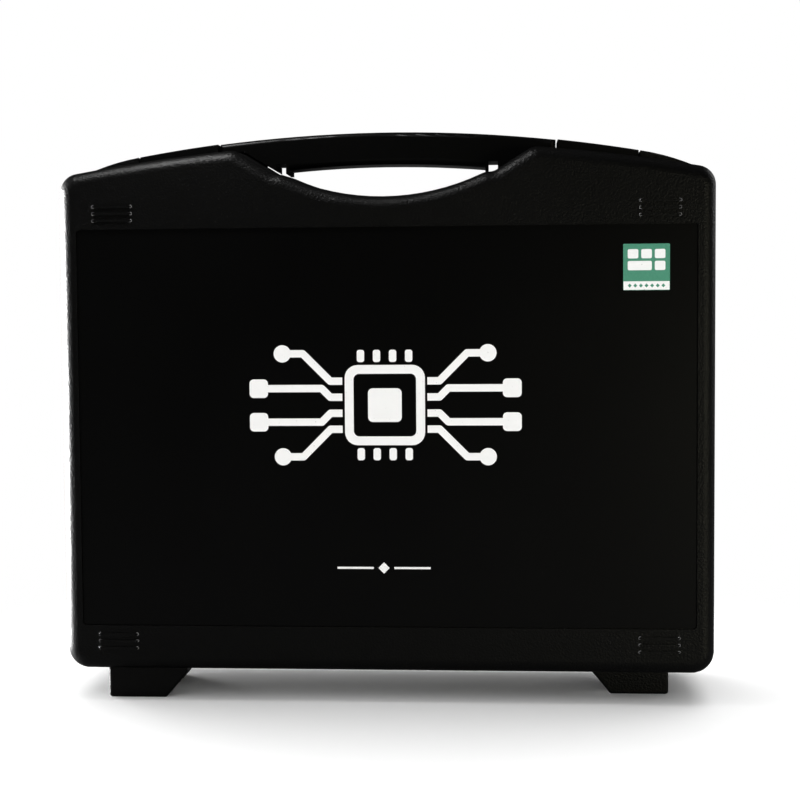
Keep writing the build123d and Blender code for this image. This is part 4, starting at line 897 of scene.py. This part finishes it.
def paper_fibres(tree, shade, shader):
    """Slight mottling of printed paper."""
    mottle = span(tree, speckle(tree, metres(tree), 700.0, 3.0), 0.35, 0.75)
    return mixed(tree, times(tree, mottle, 0.3), shade, (0.09, 0.34, 0.22))


sticker_green = solid_finish("sticker_print", (0.045, 0.235, 0.145), (0.10, 0.36, 0.24), 0.34,
                             grained=2400.0, depth=0.000006, worn=0.1, dusty=0.05, reach=0.0003,
                             rubbed=0.1, coat=0.2, pattern=paper_fibres)
dress(sticker_green, "corner_sticker")
form = bmesh.new()
x, z = STICKER_MIDDLE
layer = (STICKER_RISE - STICKER_INK, STICKER_RISE + STICKER_INK)
prism(form, rectangle(x, z - STRIP_BELOW, 27.9, 5.2), *layer)
for across, up, wide, high in TILES:
    prism(form, rounded_rectangle(x + across, z + up, wide, high, 0.9), *layer)
finished("sticker_tiles", form, white_ink, "lid")
form = bmesh.new()
for step in range(7):
    prism(form, rectangle(x + DIAMOND_PITCH * (step - 3), z - STRIP_BELOW, 1.7, 1.7, 45),
          STICKER_RISE, STICKER_RISE + 1.5 * STICKER_INK)
finished("sticker_diamonds", form, sticker_green, "lid")

# %% [markdown]
# ## The foam in the lid
# The real pad is open-cell foam, cut with a profile of rounded peaks, which presses the modules home when
# the case is shut. The pad starts from the plain pad of the engineering model: its front face is cut into
# a fine grid, and the grid is pushed back between the peaks. The outline stays as it was, so the pad
# still fits.

# %% Foam
foam_finish, tree, shader = finish_base("foam", specular=0.1)
pores = node(tree, "TexVoronoi", {"Vector": metres(tree), "Scale": 900.0}, feature="F1").outputs["Distance"]
pore_depth_and_shade = span(tree, pores, 0.0, 0.5)
felt = speckle(tree, metres(tree), 60.0, 4.0)
# The middle of each pore is painted darker, painted shade in the hollows, from the same mask that sinks the
# pores in the bump.
shade = mixed(tree, pore_depth_and_shade, (0.012, 0.012, 0.013), (0.055, 0.056, 0.06))
shade = mixed(tree, span(tree, felt, 0.4, 0.7, 0.0, 0.35), shade, (0.075, 0.075, 0.078))
bump = node(tree, "Bump", {"Strength": 0.9, "Distance": 0.0004, "Height": pore_depth_and_shade})
plug(tree, shader.inputs["Base Color"], shade)
plug(tree, shader.inputs["Roughness"], span(tree, felt, 0.3, 0.7, 0.88, 1.0))
plug(tree, shader.inputs["Normal"], bump.outputs["Normal"])
shader.inputs["Sheen Weight"].default_value = 0.25
shader.inputs["Sheen Roughness"].default_value = 0.6

FOAM_PITCH = 0.026
FOAM_VALLEY = 0.0085
FOAM_SHAVE = 0.0002
FOAM_CELL = 0.0026
PEAK_HEIGHT = 0.18
form = bmesh.new()
form.from_mesh(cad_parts["lid_foam"].data)
low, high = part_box("lid_foam")
face_y = high.y
for axis, normal in ((0, Vector((1, 0, 0))), (2, Vector((0, 0, 1)))):
    count = int((high[axis] - low[axis]) / FOAM_CELL)
    for step in range(1, count + 1):
        point = Vector((0, 0, 0))
        point[axis] = low[axis] + step * FOAM_CELL
        if point[axis] < high[axis] - 0.0004:
            bmesh.ops.bisect_plane(form, geom=form.verts[:] + form.edges[:] + form.faces[:], dist=1e-7,
                                   plane_co=point, plane_no=normal)
rim = set()
for edge in form.edges:
    if all(abs(v.co.y - face_y) < 1e-6 for v in edge.verts):
        if any(abs(abs(f.normal.y) - 1) > 1e-3 for f in edge.link_faces):
            rim.update(edge.verts)
pushed = 0
for vertex in form.verts:
    if abs(vertex.co.y - face_y) > 1e-6 or vertex in rim:
        continue
    across, up = (2 * math.pi * place / FOAM_PITCH for place in (vertex.co.x, vertex.co.z - PEAK_HEIGHT))
    wave = 0.5 - 0.5 * math.cos(across) * math.cos(up)
    vertex.co.y -= FOAM_VALLEY * wave ** 1.3 + FOAM_SHAVE
    pushed += 1
foam_pad = finished("egg_crate_foam", form, foam_finish, "lid", smooth=True)
foam_pad.data.set_sharp_from_angle(angle=math.radians(50))
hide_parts("lid_foam")
print("foam points pushed back:", pushed)

# %% [markdown]
# ## The block for plug-in wiring
# The block has a hole for every wire: two fields of five rows beside the centre channel, and a pair of
# supply rows along each side. Each hole is a real square well. A row of wells is a strip of squares, each
# with a smaller square sunk into it.

# %% Wiring block
PIN_PITCH = 2.54
HALF_PITCH = PIN_PITCH / 2
BREAD_MIDDLE = (-96.0, 186.0)
BREAD_SIZE = (165.0, 54.0)
BREAD_RISE = 8.5
WELL = 1.05
WELL_DEPTH = 3.2
COLUMNS = 63
GROUP = 6
FIRST_ROW = 3.81
FIELD_ROWS = [FIRST_ROW + PIN_PITCH * i for i in range(5)]
SUPPLY_ROWS = [20.32, 22.86]
CHANNEL_HALF = 1.5
CHANNEL_FLOOR = 6.0


def flat_strip(form, x_low, x_high, z_low, z_high, rise):
    """One flat face towards the viewer."""
    corners = ((x_low, z_low), (x_high, z_low), (x_high, z_high), (x_low, z_high))
    form.faces.new([form.verts.new(on_deck(x, z, rise)) for x, z in corners])


def well(form, x, z):
    """A square of the block's face with a sunk square hole."""
    squares = ((PIN_PITCH, BREAD_RISE), (WELL, BREAD_RISE), (WELL, BREAD_RISE - WELL_DEPTH))
    outer, mouth, ground = ([form.verts.new(on_deck(px, pz, rise)) for px, pz in rectangle(x, z, size, size)]
                            for size, rise in squares)
    for i in range(4):
        j = (i + 1) % 4
        form.faces.new((outer[i], outer[j], mouth[j], mouth[i]))
        form.faces.new((mouth[i], mouth[j], ground[j], ground[i]))
    form.faces.new(ground)


bread_plastic = solid_finish("bread_white", (0.74, 0.73, 0.69), (0.8, 0.8, 0.77), 0.46, grained=2000.0,
                             depth=0.000015, worn=0.1, dusty=0.3, rubbed=0.2, reach=0.0003)
form = bmesh.new()
middle_x, middle_z = BREAD_MIDDLE
half_x, half_z = BREAD_SIZE[0] / 2, BREAD_SIZE[1] / 2
first_x = middle_x - (COLUMNS - 1) / 2 * PIN_PITCH
field_end = (COLUMNS / 2) * PIN_PITCH
left_x, right_x = middle_x - half_x, middle_x + half_x
rows = sorted([s * r for s in (-1, 1) for r in FIELD_ROWS + SUPPLY_ROWS])
done_z = -half_z
for row in rows:
    row_low, row_high = middle_z + row - HALF_PITCH, middle_z + row + HALF_PITCH
    if row - HALF_PITCH > done_z + 0.01:
        if abs(row - FIRST_ROW) < 0.01:
            flat_strip(form, left_x, right_x, middle_z + done_z, middle_z - CHANNEL_HALF, BREAD_RISE)
            flat_strip(form, left_x, right_x, middle_z + CHANNEL_HALF, row_low, BREAD_RISE)
        else:
            flat_strip(form, left_x, right_x, middle_z + done_z, row_low, BREAD_RISE)
    for side in (-1, 1):
        ends = sorted((middle_x + side * field_end, middle_x + side * half_x))
        flat_strip(form, *ends, row_low, row_high, BREAD_RISE)
    for column in range(COLUMNS):
        x = first_x + column * PIN_PITCH
        if abs(row) >= SUPPLY_ROWS[0] and column % GROUP == GROUP - 1:
            flat_strip(form, x - HALF_PITCH, x + HALF_PITCH, row_low, row_high, BREAD_RISE)
        else:
            well(form, x, middle_z + row)
    done_z = row + HALF_PITCH
flat_strip(form, left_x, right_x, middle_z + done_z, middle_z + half_z, BREAD_RISE)
channel = [(-half_z, 0), (-half_z, BREAD_RISE), (-CHANNEL_HALF, BREAD_RISE), (-CHANNEL_HALF, CHANNEL_FLOOR),
           (CHANNEL_HALF, CHANNEL_FLOOR), (CHANNEL_HALF, BREAD_RISE), (half_z, BREAD_RISE), (half_z, 0)]
ends = []
for side in (-1, 1):
    end_x = middle_x + side * half_x
    ends.append([form.verts.new(on_deck(end_x, middle_z + up, rise)) for up, rise in channel])
    form.faces.new(ends[-1])
for i in (0, 2, 3, 4, 6, 7):  # 1 and 5 are the face, which the wells have filled
    j = (i + 1) % len(channel)
    form.faces.new((ends[0][i], ends[0][j], ends[1][j], ends[1][i]))
bmesh.ops.remove_doubles(form, verts=form.verts, dist=1e-6)
block = finished("wiring_block", form, bread_plastic, "base")
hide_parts("breadboard")
print("columns and rows of wells:", COLUMNS, len(rows))

for name, offsets, colour in (("plus_lines", (-25.3, 17.9), (0.55, 0.02, 0.02)),
                              ("minus_lines", (-17.9, 25.3), (0.02, 0.07, 0.45))):
    ink = solid_finish(name, colour, tuple(min(1.0, c + 0.15) for c in colour), 0.45, grained=2000.0,
                       depth=0.000005, worn=0.1, dusty=0.1, reach=0.0003)
    form = bmesh.new()
    for offset in offsets:
        prism(form, rectangle(middle_x, middle_z + offset, 154.0, 0.5), BREAD_RISE - 0.02, BREAD_RISE + 0.03)
    finished(name, form, ink, "base")

# %% [markdown]
# ## Chips and small parts on the boards
# A bare board says little. Each module carries a chip or two, rows of small parts, and a pin strip at its
# edge. Chips are black resin with a row of tin legs on two sides. The small parts are resistors and
# capacitors a few millimetres long. Places are given from the middle of each board, which comes from the
# engineering part itself.

# %% Small parts
BOARD_RISE = 6.6
CONTROLLER_RISE = 12.6
PIN = 0.64
EDGE_PINS = 19
EDGE_ROW = 12.7
resin, ceramic, gold = (solid_finish(*row) for row in (
    ("chip_resin", (0.011, 0.011, 0.012), grey(0.05), 0.38, 2600.0, 0.00001, 0.3, 0.1, 0.0002),
    ("small_part_ceramic", (0.30, 0.20, 0.11), (0.5, 0.42, 0.3), 0.4, 2600.0, 0.00001, 0.3, 0.1, 0.0002),
    ("pin_gold", (0.72, 0.52, 0.18), (0.9, 0.75, 0.4), 0.22, 3000.0, 0.000006, 0.2, 0.05, 0.0002, 0.3, 1.0)))


def middle_of(name):
    """Middle of an engineering part on the deck, in millimetres."""
    low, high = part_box(name)
    return (low.x + high.x) / 2 / MM, (low.z + high.z) / 2 / MM


def chip(bodies, legs, x, z, width, height, rise, tall=1.5, pitch=1.27):
    """Chip whose legs stand along its two long sides."""
    prism(bodies, rectangle(x, z, width, height), rise + 0.1, rise + tall, 0.12)
    dot = circle(x - width / 2 + 0.8, z - height / 2 + 0.8, 0.3, 12)
    prism(bodies, dot, rise + tall - 0.05, rise + tall + 0.02)
    count = int((width - 0.6) / pitch)
    for step in range(count):
        px = x + (step - (count - 1) / 2) * pitch
        for side in (-1, 1):
            prism(legs, rectangle(px, z + side * (height / 2 + 0.5), 0.42, 1.1), rise, rise + 0.3)
            prism(legs, rectangle(px, z + side * (height / 2 + 0.12), 0.42, 0.3), rise + 0.2, rise + 0.8)


def small_part(bodies, ends, x, z, turned, rise, length=2.0, width=1.2, tall=0.6):
    """Soldered part with two tin ends."""
    prism(bodies, rectangle(x, z, length * 0.6, width, turned), rise, rise + tall)
    c, s = math.cos(math.radians(turned)), math.sin(math.radians(turned))
    for side in (-1, 1):
        px, pz = x + side * c * length * 0.4, z + side * s * length * 0.4
        prism(ends, rectangle(px, pz, length * 0.2, width * 1.02, turned), rise, rise + tall * 1.04)


def pin_strip(strips, pins, x, z, count, rise, upright=False):
    """Black strip with one gold pin in each place, across or upright."""
    for step in range(count):
        offset = (step - (count - 1) / 2) * PIN_PITCH
        px, pz = (x, z + offset) if upright else (x + offset, z)
        prism(strips, rectangle(px, pz, 2.5, 2.5), rise, rise + 2.5, 0.25)
        prism(pins, rectangle(px, pz, PIN, PIN), rise + 2.4, rise + 8.6, 0.12)


# Chips: board, place from the middle, width, height.
# Pin strips: board, place from the middle, number of pins, upright or not.
CHIPS = (
    ("ultrasonic_board", 0.0, 0.0, 6.4, 5.2), ("motion_board", -14.6, 2.5, 4.6, 3.6),
    ("gas_board", 12.8, 0.0, 4.6, 3.6), ("humidity_board", -12.6, 1.0, 4.2, 3.0),
    ("relay_board", -2.6, -18.6, 9.0, 2.4), ("light_board", -1.2, 5.4, 4.6, 3.2),
    ("display_board", 38.0, 25.0, 9.6, 3.9), ("display_board", -30.0, 25.0, 9.6, 3.9),
)
STRIPS = (
    ("ultrasonic_board", 0.0, -8.2, 4, False), ("motion_board", 14.8, 0.0, 3, True),
    ("humidity_board", 12.6, 0.0, 3, True), ("gas_board", -12.9, 0.0, 4, True),
    ("light_board", 14.0, 0.0, 3, True), ("relay_board", 21.6, -0.4, 4, True),
    ("display_board", 3.0, 25.2, 12, False),
)
bodies, legs, strips, pins, ceramics = (bmesh.new() for _ in range(5))
for name, across, up, width, height in CHIPS:
    x, z = middle_of(name)
    chip(bodies, legs, x + across, z + up, width, height, BOARD_RISE)
for name, across, up, count, upright in STRIPS:
    x, z = middle_of(name)
    pin_strip(strips, pins, x + across, z + up, count, BOARD_RISE, upright)

# Rows of small parts: board, middle of the row, number, distance from one to the next, turn in degrees.
chance = random.Random(7)
PART_ROWS = (
    ("ultrasonic_board", -2.4, 5.6, 3, 2.4, 0), ("motion_board", -14.6, -4.0, 3, 2.6, 90),
    ("gas_board", 12.8, 6.4, 3, 2.2, 90), ("humidity_board", -12.6, -5.4, 2, 2.6, 0),
    ("light_board", -3.0, -5.6, 3, 3.0, 0), ("relay_board", -20.0, -18.6, 4, 2.6, 90),
    ("relay_board", -14.0, 18.8, 5, 3.0, 0), ("display_board", 20.0, -25.0, 7, 3.2, 0),
    ("display_board", -30.0, -25.0, 6, 3.2, 90), ("led_board", 0.0, 5.2, 8, 10.0, 0),
)
for name, across, up, count, pitch, turned in PART_ROWS:
    x, z = middle_of(name)
    for step in range(count):
        slip, twist = chance.uniform(-0.12, 0.12), chance.uniform(-2, 2)
        place = x + across + (step - (count - 1) / 2) * pitch
        small_part(ceramics, legs, place, z + up + slip, turned + twist, BOARD_RISE)
x, z = middle_of("controller_board")
chip(bodies, legs, x - 5.2, z - 6.0, 5.4, 4.4, CONTROLLER_RISE)
chip(bodies, legs, x + 5.0, z - 6.0, 3.2, 2.6, CONTROLLER_RISE, 1.2)
for side in (-1, 1):
    for step in range(EDGE_PINS):
        px, pz = x + side * EDGE_ROW, z + (step - (EDGE_PINS - 1) / 2) * PIN_PITCH
        prism(pins, rectangle(px, pz, PIN, PIN), CONTROLLER_RISE - 0.1, CONTROLLER_RISE + 0.9, 0.1)
        prism(legs, circle(px, pz, 0.75, 12), CONTROLLER_RISE - 0.1, CONTROLLER_RISE + 0.12)
    for step in range(5):
        part_z = z - 11.0 + step * 2.2 + side * 0.4
        small_part(ceramics, legs, x + side * 8.6, part_z, 0.0, CONTROLLER_RISE, 1.6, 0.9)
finished("chip_bodies", bodies, resin, "base")
finished("chip_legs", legs, tin, "base")
finished("pin_strips", strips, plastics["part_black"], "base")
finished("pin_rows", pins, gold, "base")
finished("small_parts", ceramics, ceramic, "base")

# %% [markdown]
# ## Faces of the sensors and the numeric display
# The distance sensor looks through two round wire grilles. The motion sensor sits under a milky lens
# whose facets focus warmth on it, so its dome is faceted and not smooth. The numeric display shows four
# grey digits of seven bars each while it is off, leaning a little to the right.

# %% Grilles, lens and digits
CAN_AWAY = 13
CAN_TOP = BOARD_RISE + 10.9
CAN_FACE, GRILLE_REACH = 6.35, 6.3
WIRE_STEP, WIRE_WIDTH, WIRE_RISE, WIRE_OVER = 0.8, 0.22, 0.2, 0.15
form, grille_back = bmesh.new(), bmesh.new()
x, z = middle_of("ultrasonic_board")
for side in (-CAN_AWAY, CAN_AWAY):
    prism(grille_back, circle(x + side, z, CAN_FACE), CAN_TOP - 0.2, CAN_TOP)
    for step in range(-7, 8):
        offset = step * WIRE_STEP
        half = math.sqrt(GRILLE_REACH ** 2 - offset ** 2)
        bar(form, (x + side - half, z + offset), (x + side + half, z + offset), WIRE_WIDTH,
            CAN_TOP, CAN_TOP + WIRE_RISE)
        bar(form, (x + side + offset, z - half), (x + side + offset, z + half), WIRE_WIDTH,
            CAN_TOP + WIRE_OVER, CAN_TOP + WIRE_OVER + WIRE_RISE)
finished("sensor_grilles", form, tin, "base")
finished("sensor_grille_backs", grille_back, resin, "base")

lens_milk, tree, shader = finish_base("lens_milk", specular=0.5, coat=0.2)
soft = speckle(tree, metres(tree), 300.0, 3.0)
plug(tree, shader.inputs["Base Color"], mixed(tree, soft, (0.70, 0.70, 0.67), (0.86, 0.86, 0.83)))
plug(tree, shader.inputs["Roughness"], span(tree, soft, 0.3, 0.7, 0.34, 0.46))
shader.inputs["Subsurface Weight"].default_value = 0.3
shader.inputs["Subsurface Radius"].default_value = (0.002, 0.002, 0.002)
LENS_RADIUS = 10.9
LENS_FLANGE, LENS_RISE, LENS_CUT = 23, 3.5, 3.3
form = bmesh.new()
bmesh.ops.create_icosphere(form, subdivisions=3, radius=LENS_RADIUS * MM)
x, z = middle_of("motion_board")
bmesh.ops.translate(form, verts=form.verts, vec=on_deck(x, z, BOARD_RISE + LENS_RISE))
flat = on_deck(x, z, BOARD_RISE + LENS_CUT)
bmesh.ops.bisect_plane(form, geom=form.verts[:] + form.edges[:] + form.faces[:], plane_co=flat,
                       plane_no=Vector((0, 1, 0)), clear_outer=True)
bmesh.ops.contextual_create(form, geom=[e for e in form.edges if e.is_boundary])
prism(form, rounded_rectangle(x, z, LENS_FLANGE, LENS_FLANGE, 1.0), BOARD_RISE, BOARD_RISE + LENS_RISE, 0.4)
lens = finished("faceted_lens", form, lens_milk, "base")
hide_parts("motion_dome")

segment_grey = solid_finish("segment_grey", (0.26, 0.25, 0.24), (0.4, 0.4, 0.38), 0.32, grained=2400.0,
                            depth=0.000006, worn=0.1, dusty=0.1, reach=0.0002)
form = bmesh.new()
x, z = middle_of("segment_display")
BARS_LOW, BARS_HIGH = 7.95, 8.03
LEAN = math.tan(math.radians(8))
DIGITS = 4
DIGIT_PITCH = 12.2
BARS = [(0, up, 6.0, 1.2) for up in (5.9, 0, -5.9)]
BARS += [(3.5 * i, 2.95 * j, 1.2, 4.9) for i in (-1, 1) for j in (-1, 1)]
for digit in range(DIGITS):
    centre = x + (digit - (DIGITS - 1) / 2) * DIGIT_PITCH
    for across, up, wide, high in BARS:
        upright = rectangle(centre + across, z + up, wide, high)
        prism(form, [(px + LEAN * (pz - z), pz) for px, pz in upright], BARS_LOW, BARS_HIGH)
    prism(form, circle(centre + 5.4, z - 6.2, 0.75, 16), BARS_LOW, BARS_HIGH)
finished("digit_bars", form, segment_grey, "base")

# %% [markdown]
# ## Print on the deck
# White print tells which modules belong together. Each module has a rounded frame round it. The knob has
# a scale from 0 to 10, and the rocker is marked with the usual bar and ring for on and off. The numbers
# are Blender's own text, turned into a mesh and laid on the deck.

# %% Deck print
FRAME_MARGIN = 2.4
FRAME_LINE = 0.5
DECK_INK = 0.04
form = bmesh.new()
FRAMED = [
    "display_board", "ultrasonic_board", "motion_board", "humidity_board", "gas_board", "light_board",
    "led_board", "relay_board", "segment_display", "buzzer", "breadboard", "controller_board",
    "button_bases", "toggle_bodies", "power_socket", "power_switch", "servo", "fan_motor",
]
for name in FRAMED:
    low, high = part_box(name)
    x, z = middle_of(name)
    width = (high.x - low.x) / MM + 2 * FRAME_MARGIN
    height = (high.z - low.z) / MM + 2 * FRAME_MARGIN
    inner = (width - 2 * FRAME_LINE, height - 2 * FRAME_LINE, 1.9)
    ring(form, rounded_rectangle(x, z, width, height, 2.4), rounded_rectangle(x, z, *inner), 0.0, DECK_INK)


def printed_number(form, text, x, z, size):
    """Digits laid on the deck."""
    data = bpy.data.curves.new("digits", "FONT")
    data.body = text
    data.size = size * MM
    data.align_x = "CENTER"
    data.align_y = "CENTER"
    data.extrude = DECK_INK * MM / 2
    data.resolution_u = 4
    letter = bpy.data.objects.new("digits", data)
    bpy.context.scene.collection.objects.link(letter)
    upright = Matrix.Rotation(math.radians(90), 4, "X")
    letter.matrix_world = Matrix.Translation(on_deck(x, z, DECK_INK / 2)) @ upright
    bpy.context.view_layer.update()
    mesh = bpy.data.meshes.new_from_object(letter)
    mesh.transform(letter.matrix_world)
    form.from_mesh(mesh)
    bpy.data.objects.remove(letter)
    bpy.data.meshes.remove(mesh)


def painted(*ends, width):
    """Straight line of ink."""
    bar(form, *ends, width, 0.0, DECK_INK)


def inked_ring(x, z, outer, inner):
    """Ring of ink."""
    ring(form, circle(x, z, outer), circle(x, z, inner), 0.0, DECK_INK)


MARKS = 11
FIRST_MARK, MARK_STEP = 240, 30
MARK_INSIDE, MARK_OUTSIDE, LONG_MARK_OUTSIDE, NUMBERS_AT = 13.2, 14.8, 15.6, 18.4
x, z = middle_of("potentiometer")
for step in range(MARKS):
    angle = math.radians(FIRST_MARK - MARK_STEP * step)
    far = MARK_OUTSIDE if step % 5 else LONG_MARK_OUTSIDE
    inside, outside, number = ((x + away * math.cos(angle), z + away * math.sin(angle))
                               for away in (MARK_INSIDE, far, NUMBERS_AT))
    painted(inside, outside, width=0.5)
    printed_number(form, str(step), *number, 3.4)
x, z = middle_of("power_switch")
painted((x, z + 17.6), (x, z + 14.4), width=0.7)
inked_ring(x, z - 16.0, 1.9, 1.3)
for toggle in ("toggle_lever_1", "toggle_lever_2"):
    x, _ = middle_of(toggle)
    z = middle_of("toggle_bodies")[1]
    painted((x, z + 13.6), (x, z + 11.2), width=0.6)
    inked_ring(x, z - 12.4, 1.5, 1.0)
for name, direction in (("power_socket", -1), ("fan_motor", -1), ("servo", 1)):
    x, z = middle_of(name)
    low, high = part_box(name)
    start_x = x + direction * ((high.x - low.x) / MM / 2 + FRAME_MARGIN)
    painted((start_x, z), (start_x + direction * 6.0, z), width=0.5)
    prism(form, circle(start_x + direction * 7.0, z, 1.2, 18), 0.0, DECK_INK)
finished("deck_print", form, white_ink, "base")

# %% [markdown]
# ## The pointer of the knob
# A knob without a mark says nothing about its setting. Its top has a short groove from the middle to the
# rim, and the groove is filled with white paint, wiped flush. It is drawn as a bar in the groove that
# turns with the knob.

# %% Knob pointer
GROOVE_LOW, PAINT_HIGH = 19.4, 19.9
GROOVE_FROM, GROOVE_TO, GROOVE_WIDTH = 2.15, 8.85, 1.1
form = bmesh.new()
x, z = middle_of("control_knob")
bar(form, (x, z + GROOVE_FROM), (x, z + GROOVE_TO), GROOVE_WIDTH, GROOVE_LOW, PAINT_HIGH)
finished("knob_pointer", form, white_ink, "knob")

# %% [markdown]
# ## Small hardware
# The relay terminals hold slotted screws at the bottom of round wells, and the buttons have tin legs
# beside their bodies. A screw is a disc with a raised bar, so that its slot reads from above.

# %% Screws and legs
TERMINALS = 6
TERMINAL_PITCH = 2 * PIN_PITCH
SCREW_LOW, SCREW_HIGH = BOARD_RISE + 5.9, BOARD_RISE + 6.8
form = bmesh.new()
x, z = middle_of("relay_terminals")
for step in range(TERMINALS):
    pz = z + (step - (TERMINALS - 1) / 2) * TERMINAL_PITCH
    ring(form, circle(x - 0.6, pz, 1.8), circle(x - 0.6, pz, 0.02), SCREW_LOW, SCREW_HIGH)
    bar(form, (x - 2.2, pz), (x + 1.0, pz), 0.42, SCREW_HIGH - 0.05, SCREW_HIGH + 0.15)
x, z = middle_of("button_bases")
for cap in range(1, 5):
    cap_x, _ = middle_of(f"button_cap_{cap}")
    for i in (-1, 1):
        for j in (-1, 1):
            prism(form, rectangle(cap_x + i * 6.3, z + j * 2.5, 0.9, 1.0), 0.0, 1.4)
finished("terminal_screws", form, tin, "base")
